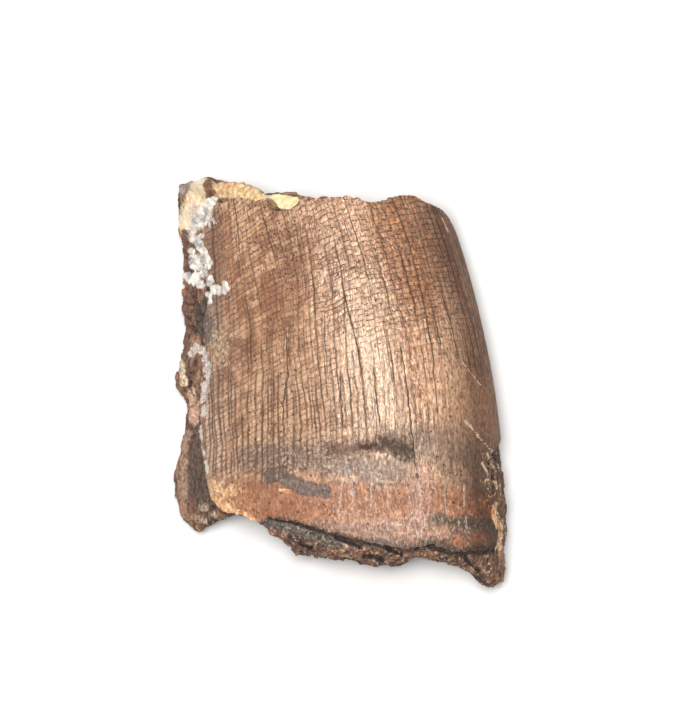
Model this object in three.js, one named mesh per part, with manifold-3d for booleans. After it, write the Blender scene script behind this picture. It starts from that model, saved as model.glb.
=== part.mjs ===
// A broken section of a tyrannosaur tooth crown, lying on its fractured back with the enamel face up.
// Units are millimetres. +Z is up, +Y runs from the broken base towards the missing tip, and +X points to
// the rounded front edge of the tooth. The origin is the bottom centre of the part's box.
//
// The fossil is one natural piece, so it is one mesh. It is a box lattice whose six sides are wrapped on the
// tooth: the top side becomes the enamel, the four rims become the fracture walls, and the underside becomes
// the fractured back. Grains of white mineral that grew on one wall are then joined to it.
import * as THREE from "three";
import { ImprovedNoise } from "three/addons/math/ImprovedNoise.js";
import { mergeVertices } from "three/addons/utils/BufferGeometryUtils.js";
import Module from "manifold-3d";

const { clamp, degToRad, lerp, smoothstep } = THREE.MathUtils;

// ---- Driving dimensions ----
const CREST_HEIGHT = 12.5; // the enamel's highest line above the surface that the fossil rests on
const ENAMEL_THICKNESS = 0.5;
const LATTICE = { across: 37, along: 41, deep: 8 }; // cells of the box that is wrapped on the tooth

// ---- The crown: an egg-shaped section that narrows and leans towards the tip ----
const crestX = (y) => 3.15 - 0.147 * y - 0.0042 * y * y;
const crestZ = (y) => CREST_HEIGHT - 0.0046 * (y + 6) ** 2;
const flatSideRadius = (y) => 16.6 - 0.16 * y;
const roundSideRadius = (y) => 9.63 - 0.02 * y - 0.0022 * y * y;
const UNDER_EDGE = degToRad(95); // how far round the front edge the enamel runs where it is whole

// Radius of the section at an angle from its crest, blended so that the curve has no kink.
function crownRadius(angle, y) {
  const share = smoothstep(angle, degToRad(-60), degToRad(60));
  return lerp(flatSideRadius(y), roundSideRadius(y), share);
}

// Point of the crown, or of a surface that lies depth below it.
function crownPoint(angle, y, depth = 0) {
  const r = crownRadius(angle, y);
  return new THREE.Vector3(
    crestX(y) + r * Math.sin(angle) - depth * Math.sin(angle),
    y,
    crestZ(y) - r * (1 - Math.cos(angle)) - depth * Math.cos(angle),
  );
}

// Angle at which the crown passes over a point of the plan, up to the limb of the front edge.
function angleOver(x, y) {
  let low = degToRad(-80);
  let high = degToRad(90);
  for (let step = 0; step < 40; step += 1) {
    const middle = (low + high) / 2;
    if (crownPoint(middle, y).x < x) low = middle;
    else high = middle;
  }
  return (low + high) / 2;
}

// ---- Outlines in plan, [x, y], each in order along the side that it follows ----
// Where the enamel stops.
const ENAMEL_TOP = [
  [-10.6, 15.0], [-9.6, 15.2], [-8.8, 15.6], [-7.4, 15.2], [-6.4, 15.5], [-5.7, 14.3], [-4.4, 14.4],
  [-3.7, 15.1], [-2.9, 15.5], [-1.9, 15.3], [0.4, 15.5], [2.3, 15.0], [3.6, 15.2], [4.9, 15.6], [5.9, 15.7],
  [7.0, 15.1], [8.4, 14.5], [9.1, 13.8],
];
const ENAMEL_BOTTOM = [
  [-11.1, -9.9], [-10.2, -10.8], [-8.6, -11.1], [-7.0, -11.7], [-6.0, -11.3], [-3.8, -11.6], [-0.9, -12.5],
  [2.5, -13.3], [5.4, -13.9], [7.4, -13.3], [9.3, -14.1], [12.8, -13.9],
];
const ENAMEL_LEFT = [
  [-11.1, -9.9], [-11.7, -7.6], [-12.1, -4.2], [-11.6, -2.2], [-11.3, 1.5], [-11.8, 5.3], [-11.0, 7.8],
  [-11.3, 10.2], [-11.9, 12.7], [-11.3, 14.0], [-10.6, 15.0],
];
// Near the base the front edge has lost its enamel up to this line.
const ENAMEL_RIGHT = [
  [13.0, -13.9], [13.1, -11.9], [12.7, -10.4], [12.4, -8.4], [12.0, -6.9], [12.6, -5.8], [12.8, -5.0],
];
const ENAMEL_RIGHT_ENDS = { bottom: -13.8, top: 11.6 }; // y at which the two ends meet the front edge
// Where the broken dentine stops.
const DENTINE_TOP = [
  [-14.1, 16.8], [-12.4, 17.1], [-11.7, 17.4], [-9.6, 17.1], [-8.0, 16.8], [-6.6, 16.2], [-4.6, 16.3],
  [-3.4, 15.5], [0.4, 15.5], [2.3, 15.0], [5.9, 15.7], [7.0, 15.1], [9.1, 13.7], [9.8, 12.2], [10.3, 11.0],
];
const DENTINE_BOTTOM = [
  [-12.7, -13.0], [-11.5, -12.4], [-10.5, -11.4], [-8.6, -11.0], [-6.8, -12.2], [-5.7, -13.0], [-4.3, -14.4],
  [-3.4, -14.8], [0.6, -15.2], [2.8, -15.8], [4.6, -15.5], [6.2, -14.6], [8.3, -15.3], [10.2, -15.7],
  [11.5, -16.7], [12.5, -17.5], [13.5, -17.3],
];
const DENTINE_LEFT = [
  [-12.7, -13.0], [-13.9, -11.8], [-14.3, -9.6], [-14.3, -7.5], [-13.9, -5.5], [-13.3, -3.4], [-13.8, -1.8],
  [-14.2, -0.3], [-13.9, 3.6], [-13.6, 6.8], [-13.8, 11.0], [-14.2, 15.2], [-14.1, 16.8],
];
const DENTINE_RIGHT = [
  [13.5, -17.3], [13.8, -15.2], [14.1, -13.0], [14.0, -10.4], [13.7, -7.6], [13.4, -5.0],
];

// Value at t of a broken line through [t, value] points, level past its ends.
function along(points, t) {
  const next = points.findIndex(([at]) => at >= t);
  if (next === 0) return points[0][1];
  if (next < 0) return points.at(-1)[1];
  const [t0, v0] = points[next - 1];
  const [t1, v1] = points[next];
  return lerp(v0, v1, (t - t0) / (t1 - t0));
}
const byY = (outline) => outline.map(([x, y]) => [y, x]);

// ---- Enamel: the lattice's top side ----
const leftAngle = (y) => angleOver(along(byY(ENAMEL_LEFT), y), y);
const rightAngle = (y) =>
  lerp(angleOver(along(byY(ENAMEL_RIGHT), y), y), UNDER_EDGE, smoothstep(y, -6, -3.4));

// An end outline of the enamel as [share of the way across, y], carried on to the front edge at endY.
function acrossCrown(outline, endY) {
  const points = outline.map(([x, y]) => [
    (angleOver(x, y) - leftAngle(y)) / (rightAngle(y) - leftAngle(y)),
    y,
  ]);
  return [...points, [1, endY]];
}
const topRim = acrossCrown(ENAMEL_TOP, ENAMEL_RIGHT_ENDS.top);
const bottomRim = acrossCrown(ENAMEL_BOTTOM, ENAMEL_RIGHT_ENDS.bottom);

// The same rim with its chips smoothed away, which the lattice follows further in.
function smoothed(rim, a) {
  const near = [-0.12, -0.06, 0, 0.06, 0.12].map((step) => along(rim, clamp(a + step, 0, 1)));
  return near.reduce((total, y) => total + y) / near.length;
}

function enamelAngleAndY(a, b) {
  const [bottom, top] = [smoothed(bottomRim, a), smoothed(topRim, a)];
  const chips = (along(topRim, a) - top) * b ** 8 + (along(bottomRim, a) - bottom) * (1 - b) ** 8;
  const y = lerp(bottom, top, b) + chips;
  return [lerp(leftAngle(y), rightAngle(y), a), y];
}

// ---- Fracture walls: the lattice's four rims ----
// Each wall falls from the enamel's edge to the foot of the enamel, out to a shelf of bare dentine, down to
// its waist, where the outline is widest, and in to the edge that the back meets.
const SHELF_AT = 0.62;
const WAIST_AT = 0.3;
const BACK_INSET = 0.9; // how far the back's edge lies inside the outline
const BACK_EDGE_LIFT = 0.5; // and above the resting plane
// Share of the wall's height that is left at the shelf, by side: a low number is a steep wall.
const SHELF_HEIGHT = { left: 0.55, right: 0.6, top: 0.8, bottom: 0.7 };

// How far each corner of the dentine lies from the enamel's, as [x, y].
const difference = ([x, y], [fromX, fromY]) => [x - fromX, y - fromY];
const BOTTOM_LEFT = difference(DENTINE_LEFT[0], ENAMEL_LEFT[0]);
const TOP_LEFT = difference(DENTINE_LEFT.at(-1), ENAMEL_LEFT.at(-1));
const BOTTOM_RIGHT = difference(DENTINE_RIGHT[0], [DENTINE_RIGHT[0][0], ENAMEL_RIGHT_ENDS.bottom]);

// Plan position where the dentine ends, opposite the point of the enamel's rim at a, b. The corners' offsets
// fade out along each side.
function dentineEdge(a, b, rim) {
  if (a === 0) {
    const y = rim.y + BOTTOM_LEFT[1] * (1 - b) ** 4 + TOP_LEFT[1] * b ** 4;
    return [along(byY(DENTINE_LEFT), y), y];
  }
  if (a === 1) {
    const y = rim.y + BOTTOM_RIGHT[1] * (1 - b) ** 4;
    return [lerp(along(byY(DENTINE_RIGHT), y), rim.x, smoothstep(y, -8, -4)), y];
  }
  const corner = b === 0 ? BOTTOM_LEFT : TOP_LEFT;
  const x = Math.min(rim.x, DENTINE_RIGHT[0][0]) + corner[0] * (1 - a) ** 4;
  return [x, along(b === 0 ? DENTINE_BOTTOM : DENTINE_TOP, x)];
}

function wallSide(a, b) {
  if (a === 0) return "left";
  if (a === 1) return "right";
  return b === 0 ? "bottom" : "top";
}

function wallPoint(a, b, c) {
  const [angle, y] = enamelAngleAndY(a, b);
  const rim = crownPoint(angle, y);
  if (c === 1) return rim;
  const foot = crownPoint(angle, y, ENAMEL_THICKNESS);
  const [edgeX, edgeY] = dentineEdge(a, b, rim);
  const shelfZ = Math.max(foot.z * SHELF_HEIGHT[wallSide(a, b)], BACK_EDGE_LIFT + 0.3);
  const shelf = new THREE.Vector3(lerp(foot.x, edgeX, 0.8), lerp(foot.y, edgeY, 0.8), shelfZ);
  const waist = new THREE.Vector3(edgeX, edgeY, lerp(BACK_EDGE_LIFT, shelfZ, 0.5));
  const inwards = new THREE.Vector3(-edgeX, -edgeY * 0.8, 0).setLength(BACK_INSET);
  const back = new THREE.Vector3(edgeX, edgeY, BACK_EDGE_LIFT).add(inwards);
  const footAt = 1 - 1 / LATTICE.deep;
  if (c >= footAt) return foot;
  if (c > SHELF_AT) return foot.lerp(shelf, (footAt - c) / (footAt - SHELF_AT));
  if (c > WAIST_AT) return shelf.lerp(waist, (SHELF_AT - c) / (SHELF_AT - WAIST_AT));
  return waist.lerp(back, (WAIST_AT - c) / WAIST_AT);
}

// ---- Back: a sheet between the walls' lower edges, with its high spots worn to the resting plane ----
function backPoint(a, b) {
  const point = wallPoint(0, b, 0).lerp(wallPoint(1, b, 0), a);
  for (const [end, share] of [[0, (1 - b) ** 2], [1, b ** 2]]) {
    const straight = wallPoint(0, end, 0).lerp(wallPoint(1, end, 0), a);
    point.addScaledVector(wallPoint(a, end, 0).sub(straight), share);
  }
  const fromEdge = Math.min(a, 1 - a, b, 1 - b);
  point.z *= 1 - 0.95 * smoothstep(fromEdge, 0, 0.12);
  return point;
}

// ---- Roughness of what is broken ----
const perlin = new ImprovedNoise();
// Greatest push along x, y and z, about.
const ROUGHNESS = { wall: new THREE.Vector3(0.3, 0.3, 0.3), back: new THREE.Vector3(0.12, 0.12, 0.75) };

// Unevenness of a broken surface: long splinters along the tooth, with chips between them.
function unevenness(point, seed) {
  const splinters = perlin.noise(point.x * 0.7 + seed, point.y * 0.2, point.z * 0.7);
  const chips = perlin.noise(point.x * 0.45, point.y * 0.45 + seed, point.z * 0.45);
  return 1.1 * splinters + 1.3 * chips;
}

function latticePoint(a, b, c) {
  if (c === 1) return crownPoint(...enamelAngleAndY(a, b));
  const onWall = a === 0 || a === 1 || b === 0 || b === 1;
  const point = onWall ? wallPoint(a, b, c) : backPoint(a, b);
  const fromEdge = Math.min(a, 1 - a, b, 1 - b);
  const push = new THREE.Vector3(unevenness(point, 7), unevenness(point, 19), unevenness(point, 37));
  push.multiply(ROUGHNESS.wall.clone().lerp(ROUGHNESS.back, smoothstep(fromEdge, 0, 0.1)));
  const [angle, y] = enamelAngleAndY(a, b);
  const wallHeight = crownPoint(angle, y).z;
  point.addScaledVector(push, smoothstep(1 - c, 0.1, 0.5) * smoothstep(wallHeight, 0.5, 4));
  point.z = Math.max(point.z, 0);
  return point;
}

function toothGeometry() {
  const geometry = new THREE.BoxGeometry(1, 1, 1, LATTICE.across, LATTICE.along, LATTICE.deep);
  geometry.deleteAttribute("normal");
  geometry.deleteAttribute("uv");
  const place = geometry.getAttribute("position");
  const share = (value, cells) => Math.round((value + 0.5) * cells) / cells;
  for (let i = 0; i < place.count; i += 1) {
    const a = share(place.getX(i), LATTICE.across);
    const b = share(place.getY(i), LATTICE.along);
    const c = share(place.getZ(i), LATTICE.deep);
    const point = latticePoint(a, b, c);
    place.setXYZ(i, point.x, point.y, point.z);
  }
  return mergeVertices(geometry, 1e-4);
}

// ---- White mineral grains on the left wall ----
const GRAIN_COUNT = 24;
const GRAIN_SIZE = 0.42; // mean radius
const GRAIN_SPAN = { from: 0.6, to: 0.97 }; // shares of the wall's length

function grainGeometry(index) {
  const wobble = (salt) => perlin.noise(index * 0.73 + salt, salt * 1.7, index * 0.31);
  const b = lerp(GRAIN_SPAN.from, GRAIN_SPAN.to, index / (GRAIN_COUNT - 1));
  const c = clamp(0.78 + 0.5 * wobble(1.3), 0.5, 0.86);
  const seat = latticePoint(0, b, c);
  const size = GRAIN_SIZE * (1 + 0.8 * wobble(5.1));
  const grain = new THREE.IcosahedronGeometry(size);
  grain.deleteAttribute("normal");
  grain.deleteAttribute("uv");
  grain.rotateX(index).rotateY(2 * index);
  grain.scale(1, 1.3, 0.8);
  grain.translate(seat.x + 0.1, seat.y, seat.z);
  return mergeVertices(grain, 1e-4);
}

// ---- Joining ----
const wasm = await Module();
wasm.setup();

function solidOf(geometry) {
  return new wasm.Manifold(
    new wasm.Mesh({
      numProp: 3,
      vertProperties: new Float32Array(geometry.getAttribute("position").array),
      triVerts: new Uint32Array(geometry.index.array),
    }),
  );
}

function geometryOf(solid) {
  const { vertProperties, triVerts } = solid.getMesh();
  return new THREE.BufferGeometry()
    .setAttribute("position", new THREE.BufferAttribute(vertProperties, 3))
    .setIndex(new THREE.BufferAttribute(triVerts, 1));
}

let joined = solidOf(toothGeometry());
for (let i = 0; i < GRAIN_COUNT; i += 1) joined = joined.add(solidOf(grainGeometry(i)));

// Grains that touch each other can close off a pinhole between them, so only the outer body is kept.
const [outer] = joined.decompose().sort((one, other) => other.volume() - one.volume());
const fossil = geometryOf(outer);
fossil.computeBoundingBox();
const centre = fossil.boundingBox.getCenter(new THREE.Vector3());
fossil.translate(-centre.x, -centre.y, -fossil.boundingBox.min.z);
fossil.computeVertexNormals();

const fossilBrown = new THREE.MeshStandardMaterial({ color: 0xab856c, roughness: 0.45, metalness: 0 });
const tooth = new THREE.Mesh(fossil, fossilBrown);
tooth.name = "tooth_section";

const group = new THREE.Group();
group.add(tooth);
export default group;
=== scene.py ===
"""The looks of a broken section of a fossil tyrannosaur tooth crown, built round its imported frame.

Three pieces stand for the one solid of the frame: the crazed enamel shell, the broken dentine that carries it,
and the white mineral crust that grew on one broken side. Lengths in this file are millimetres, in the crown's
own plan, until a mesh is written.
"""

import logging
import math
from dataclasses import dataclass
from enum import Enum
from typing import Dict, NamedTuple, Optional, Tuple, Union

import bpy
import numpy as np
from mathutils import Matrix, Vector

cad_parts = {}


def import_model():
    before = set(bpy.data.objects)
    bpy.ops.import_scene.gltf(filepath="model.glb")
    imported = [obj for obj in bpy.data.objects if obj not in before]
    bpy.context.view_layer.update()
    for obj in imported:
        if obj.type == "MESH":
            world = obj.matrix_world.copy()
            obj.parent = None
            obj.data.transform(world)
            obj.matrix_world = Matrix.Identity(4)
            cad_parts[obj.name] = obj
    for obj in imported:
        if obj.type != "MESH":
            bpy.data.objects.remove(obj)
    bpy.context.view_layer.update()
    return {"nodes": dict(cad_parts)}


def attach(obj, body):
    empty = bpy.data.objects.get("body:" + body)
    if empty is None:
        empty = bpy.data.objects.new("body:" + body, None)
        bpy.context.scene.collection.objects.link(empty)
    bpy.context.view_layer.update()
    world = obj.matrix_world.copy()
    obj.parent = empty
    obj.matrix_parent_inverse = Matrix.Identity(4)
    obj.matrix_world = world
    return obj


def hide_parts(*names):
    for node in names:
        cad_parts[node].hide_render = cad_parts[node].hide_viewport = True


LOG = logging.getLogger("tooth")
MM = 0.001  # metres
NODE = "tooth_section"
BODY = "root"

# The kinds of node that come up most.
MATH = "ShaderNodeMath"
VECTOR_MATH = "ShaderNodeVectorMath"
RANGE = "ShaderNodeMapRange"
MIX = "ShaderNodeMix"

Array = np.ndarray
Number = Union[float, Array]
Plan = Tuple[float, float]
Curve = Tuple[float, float, float]
Outline = Tuple[Plan, ...]
Input = Union[bpy.types.Node, bpy.types.NodeSocket, float, Tuple[float, ...]]


# ---- Small sums ----


def smooth_step(value: Number, low: float, high: float) -> Number:
    """Rises smoothly from 0 to 1 as value goes from low to high.

    Args:
        value: where to read it.
        low: where it starts to rise.
        high: where it has risen.
    Returns:
        The share, in the shape of value.
    """
    share = np.clip((value - low) / (high - low), 0.0, 1.0)
    return share * share * (3.0 - 2.0 * share)


def lerp(start: Number, end: Number, share: Number) -> Number:
    """Goes from start to end by share."""
    return start + (end - start) * share


def along_curve(curve: Curve, y: Number) -> Number:
    """Gives a curve's value at y."""
    start, slope, bend = curve
    return start + slope * y + bend * y * y


def ragged(length: Number, seed: float) -> Number:
    """Wavers between about -1 and 1 along a broken edge.

    Args:
        length: distance along the edge in millimetres.
        seed: picks another edge.
    Returns:
        The wavering, in the shape of length.
    """
    total = 0.0 * length
    for turns, share in ((1.9, 0.34), (4.3, 0.3), (8.9, 0.22), (16.7, 0.14)):
        total = total + share * np.sin(length * turns + seed * turns * 1.7 + 2.1 * np.sin(length * 0.7 * turns))
    return total


def linear(colour: str) -> Tuple[float, float, float, float]:
    """Turns an sRGB hex colour to the linear one that a shader reads.

    Args:
        colour: such as "#ab856c".
    Returns:
        Red, green, blue and an alpha of 1.
    """
    parts = [int(colour[i : i + 2], 16) / 255.0 for i in (1, 3, 5)]
    red, green, blue = [p / 12.92 if p <= 0.04045 else ((p + 0.055) / 1.055) ** 2.4 for p in parts]
    return (red, green, blue, 1.0)


# ---- Nodes ----


def add_node(
    tree: bpy.types.NodeTree, kind: str, inputs: Optional[Dict[Union[int, str], Input]] = None, **settings: object
) -> bpy.types.Node:
    """Adds a node, sets it up and joins it to what feeds it.

    Args:
        tree: the tree that it goes in.
        kind: its type.
        inputs: for each input, a value, or the socket or node that feeds it. A node feeds by its first output.
        settings: its own settings.
    Returns:
        The node.
    """
    node = tree.nodes.new(kind)
    for name, value in settings.items():
        setattr(node, name, value)
    for key, value in (inputs or {}).items():
        if isinstance(value, bpy.types.Node):
            value = value.outputs[0]
        if isinstance(value, bpy.types.NodeSocket):
            tree.links.new(value, node.inputs[key])
        else:
            node.inputs[key].default_value = value
    return node


def stored(tree: bpy.types.NodeTree, name: str, vector: bool = False) -> bpy.types.NodeSocket:
    """Reads what was stored on the mesh, in a material's tree or in a geometry tree.

    Args:
        tree: the tree that reads it.
        name: the attribute's name.
        vector: whether it holds three numbers.
    Returns:
        The socket that gives it.
    """
    if tree.bl_idname == "ShaderNodeTree":
        reader = add_node(tree, "ShaderNodeAttribute", attribute_name=name)
        return reader.outputs["Vector" if vector else "Fac"]
    kind = "FLOAT_VECTOR" if vector else "FLOAT"
    return add_node(tree, "GeometryNodeInputNamedAttribute", {"Name": name}, data_type=kind).outputs[0]


def place_in_mm(tree: bpy.types.NodeTree) -> bpy.types.Node:
    """Gives a point's place in millimetres.

    Args:
        tree: a material's tree or a geometry tree.
    Returns:
        The node that gives it.
    """
    if tree.bl_idname == "ShaderNodeTree":
        place: Input = add_node(tree, "ShaderNodeTexCoord").outputs["Object"]
    else:
        place = add_node(tree, "GeometryNodeInputPosition")
    return add_node(tree, VECTOR_MATH, {0: place, 1: (1000.0, 1000.0, 1000.0)}, operation="MULTIPLY")


def cloud(
    tree: bpy.types.NodeTree, place: Input, per_mm: Tuple[float, ...], detail: float = 2.0, seed: float = 0.0
) -> bpy.types.Node:
    """Makes a noise that may be drawn out along an axis.

    Args:
        tree: the tree that it goes in.
        place: where it is read, in millimetres.
        per_mm: its coarseness along each axis, in lumps per millimetre.
        detail: how many finer noises are laid over it.
        seed: shifts it.
    Returns:
        The noise, which lies round 0.5.
    """
    drawn = add_node(
        tree, VECTOR_MATH, {0: place, 1: per_mm, 2: (seed, seed * 1.3, seed * 0.7)}, operation="MULTIPLY_ADD"
    )
    return add_node(tree, "ShaderNodeTexNoise", {"Vector": drawn, "Scale": 1.0, "Detail": detail, "Roughness": 0.55})


def set_tones(ramp: bpy.types.ColorRamp, stops: Tuple[float, ...], colours: Tuple[str, ...]) -> None:
    """Gives a ramp three colours.

    Args:
        ramp: a new ramp, which has two stops.
        stops: where each colour is full.
        colours: the colours.
    """
    ramp.elements.new(0.5)
    for element, stop, colour in zip(ramp.elements, stops, colours):
        element.position = stop
        element.color = linear(colour)


def empty_material(name: str) -> bpy.types.Material:
    """Makes a material that has no nodes yet.

    Args:
        name: its name.
    Returns:
        The material.
    """
    made = bpy.data.materials.new(name)
    made.use_nodes = True
    made.node_tree.nodes.clear()
    return made


class Split(NamedTuple):
    """A line that is cut into uneven lengths: how far the nearest cut is, which cut, and which length."""

    gap: bpy.types.Node
    cut: bpy.types.Node
    length: bpy.types.NodeSocket


def split_unevenly(tree: bpy.types.NodeTree, line: Input, spacing: float, unevenness: float) -> Split:
    """Cuts a line into uneven lengths.

    Args:
        tree: the tree that it goes in.
        line: the place along the line, in lengths.
        spacing: a mean length in millimetres.
        unevenness: 0 for even lengths, 1 for very uneven ones.
    Returns:
        The distance from the nearest cut in millimetres, and numbers that name the cut and the length.
    """
    sockets = {"W": line, "Scale": 1.0, "Randomness": unevenness}
    near = add_node(tree, "ShaderNodeTexVoronoi", sockets, voronoi_dimensions="1D", feature="F1")
    second = add_node(tree, "ShaderNodeTexVoronoi", sockets, voronoi_dimensions="1D", feature="F2")
    both = add_node(tree, MATH, {0: near.outputs["W"], 1: second.outputs["W"]}, operation="ADD")
    cut = add_node(tree, MATH, {0: both, 1: 0.5}, operation="MULTIPLY")
    off = add_node(tree, MATH, {0: line, 1: cut}, operation="SUBTRACT")
    size = add_node(tree, MATH, {0: off}, operation="ABSOLUTE")
    gap = add_node(tree, MATH, {0: size, 1: spacing}, operation="MULTIPLY")
    return Split(gap, cut, near.outputs["W"])


# ---- Marks that lie at a place of their own ----


@dataclass(frozen=True)
class Mark:
    """A mark that follows a line over the fossil, seen in plan."""

    path: Outline
    reach: float  # how far it goes each side of its line

    def strength(self, plan: Array) -> Array:
        """Gives how strongly each point is marked.

        Args:
            plan: the points' x and y.
        Returns:
            1 on the line, 0.5 at its reach, 0 at twice that and -1 from four times that.
        """
        points = [Vector(p) for p in self.path] if len(self.path) > 1 else [Vector(self.path[0])] * 2
        nearest = np.full(len(plan), 1e9)
        for start, end in zip(points, points[1:]):
            run = np.array(end - start)
            from_start = plan - np.array(start)
            share = np.clip(from_start @ run / max(run @ run, 1e-9), 0.0, 1.0)
            nearest = np.minimum(nearest, np.linalg.norm(from_start - share[:, None] * run, axis=1))
        return np.clip(1.0 - nearest / (2.0 * self.reach), -1.0, 1.0)


def marked(marks: Tuple[Mark, ...], plan: Array) -> Array:
    """Gives how strongly each point is marked by whichever mark is strongest there."""
    return np.max([mark.strength(plan) for mark in marks], axis=0)


class Grain(Enum):
    """How coarse a stain's broken edge and its two tones are, in lumps per millimetre along each axis."""

    BROAD = (0.6, 0.4, 0.6)
    LUMPY = (1.1, 0.9, 1.1)
    PATCHY = (1.8, 1.5, 1.8)
    FINE = (2.7, 2.1, 2.7)
    SPECKS = (4.7, 3.5, 4.7)
    STREAKS = (3.2, 0.8, 3.2)
    LONG_STREAKS = (1.9, 0.25, 1.9)


@dataclass(frozen=True)
class Stain:
    """A colour that shows where its marks are, with a broken edge: mostly a mineral stain, though some stand for
    painted light or shade.
    """

    name: str
    colours: Tuple[str, str]
    marks: Tuple[Mark, ...]
    grain: Grain = Grain.LUMPY
    broken: float = 0.6  # how far its edge strays
    soft: float = 0.12
    cover: float = 1.0
    over_cracks: bool = False
    most: float = 1.0  # below 0.5 it shows only as specks
    matt: float = 0.0  # how much rougher it is than what is under it
    down_to: float = 99.0  # millimetres straight down from the crown at which it stops

    def store(self, mesh: bpy.types.Mesh, plan: Array, depth: Number = 0.0) -> None:
        """Stores on a mesh how strongly each vertex is stained.

        Args:
            mesh: the mesh.
            plan: its vertices' x and y.
            depth: how far under the crown they lie.
        """
        strength = lerp(-1.0, marked(self.marks, plan), smooth_step(self.down_to - depth, -0.6, 0.6))
        store(mesh, self.name, self.most * strength)

    def share(self, tree: bpy.types.NodeTree, place: Input) -> bpy.types.Node:
        """Gives how far the stain covers what is under it.

        Args:
            tree: the tree that it goes in.
            place: the place in millimetres.
        Returns:
            The share.
        """
        lumps = cloud(tree, place, self.grain.value, 3.0, 3.1)
        stray = add_node(tree, MATH, {0: lumps, 1: self.broken * 2.0, 2: -self.broken}, operation="MULTIPLY_ADD")
        strength = add_node(tree, MATH, {0: stored(tree, self.name), 1: stray}, operation="ADD")
        return add_node(
            tree,
            RANGE,
            {"Value": strength, "From Min": 0.5 - self.soft, "From Max": 0.5 + self.soft, "To Max": self.cover},
            interpolation_type="SMOOTHSTEP",
        )

    def lay(self, tree: bpy.types.NodeTree, under: Input, place: Input) -> bpy.types.NodeSocket:
        """Lays the stain over a colour.

        Args:
            tree: the tree that it goes in.
            under: the colour under it.
            place: the place in millimetres.
        Returns:
            The colour with the stain on it.
        """
        tones = cloud(tree, place, tuple(2.3 * g for g in self.grain.value), 3.0, 1.7)
        spread = add_node(tree, RANGE, {"Value": tones, "From Min": 0.36, "From Max": 0.64})
        first, second = [linear(c) for c in self.colours]
        colour = add_node(tree, MIX, {0: spread, 6: first, 7: second}, data_type="RGBA")
        mixed = add_node(tree, MIX, {0: self.share(tree, place), 6: under, 7: colour.outputs[2]}, data_type="RGBA")
        return mixed.outputs[2]


def lay_stains(
    tree: bpy.types.NodeTree, stains: Tuple[Stain, ...], over_cracks: bool, under: Input, place: Input
) -> Input:
    """Lays stains over a colour, one over the other.

    Args:
        tree: the tree that they go in.
        stains: the stains, from the lowest up.
        over_cracks: whether to lay those that go over the cracks, or those that go under.
        under: the colour under them.
        place: the place in millimetres.
    Returns:
        The colour with the stains on it.
    """
    for stain in stains:
        if stain.over_cracks == over_cracks:
            under = stain.lay(tree, under, place)
    return under


def plan_of(mesh: bpy.types.Mesh, crown: "Crown") -> Array:
    """Gives each vertex's x and y in the crown's plan."""
    return crown.from_frame(places(mesh))[:, :2]


# ---- Meshes ----


def places(mesh: bpy.types.Mesh) -> Array:
    """Gives a mesh's vertices in metres.

    Args:
        mesh: the mesh.
    Returns:
        One row for each vertex.
    """
    flat = np.empty(len(mesh.vertices) * 3, dtype=np.float32)
    mesh.vertices.foreach_get("co", flat)
    return flat.reshape(-1, 3).astype(np.float64)


def set_places(mesh: bpy.types.Mesh, points: Array) -> None:
    """Moves a mesh's vertices, in metres."""
    mesh.vertices.foreach_set("co", points.astype(np.float32).ravel())
    mesh.update()


def store(mesh: bpy.types.Mesh, name: str, values: Array) -> None:
    """Stores a number, or three, on each vertex.

    Args:
        mesh: the mesh.
        name: the attribute's name. What it held before is written over.
        values: a number or a row of three for each vertex.
    """
    kind, key = ("FLOAT", "value") if values.ndim == 1 else ("FLOAT_VECTOR", "vector")
    layer = mesh.attributes.get(name) or mesh.attributes.new(name, kind, "POINT")
    layer.data.foreach_set(key, values.astype(np.float32).ravel())


def read_rows(mesh: bpy.types.Mesh, name: str) -> Array:
    """Reads the three numbers that were stored on each vertex.

    Args:
        mesh: the mesh.
        name: the attribute's name.
    Returns:
        One row for each vertex.
    """
    flat = np.zeros(len(mesh.vertices) * 3, dtype=np.float32)
    mesh.attributes[name].data.foreach_get("vector", flat)
    return flat.reshape(-1, 3)


def keep_above_floor(mesh: bpy.types.Mesh) -> None:
    """Lifts to the floor what relief has pushed below it.

    Args:
        mesh: the mesh.
    """
    points = places(mesh)
    points[:, 2] = np.maximum(points[:, 2], 0.0)
    set_places(mesh, points)


def pick(obj: bpy.types.Object) -> bpy.types.Object:
    """Selects one object alone and makes it the active one.

    Args:
        obj: the object.
    Returns:
        The same object.
    """
    bpy.ops.object.select_all(action="DESELECT")
    obj.select_set(True)
    bpy.context.view_layer.objects.active = obj
    return obj


def apply_all(obj: bpy.types.Object) -> None:
    """Applies every modifier.

    Args:
        obj: the object that has them.
    """
    pick(obj)
    for modifier in list(obj.modifiers):
        bpy.ops.object.modifier_apply(modifier=modifier.name)


def select_open_edges(obj: bpy.types.Object) -> None:
    """Opens a mesh in edit mode and selects the edges round its openings.

    Args:
        obj: the object.
    """
    pick(obj)
    bpy.ops.object.mode_set(mode="EDIT")
    bpy.ops.mesh.select_mode(type="EDGE")
    bpy.ops.mesh.select_all(action="DESELECT")
    others = dict.fromkeys(("use_wire", "use_multi_face", "use_non_contiguous", "use_verts"), False)
    bpy.ops.mesh.select_non_manifold(extend=False, use_boundary=True, **others)


def dress(obj: bpy.types.Object, material: bpy.types.Material, crease: float) -> None:
    """Gives a piece its one material and shades it smooth.

    Args:
        obj: the piece.
        material: its material.
        crease: the angle in degrees past which an edge stays sharp.
    """
    pick(obj)
    bpy.ops.object.shade_smooth_by_angle(angle=math.radians(crease))
    obj.data.materials.clear()
    obj.data.materials.append(material)


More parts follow.
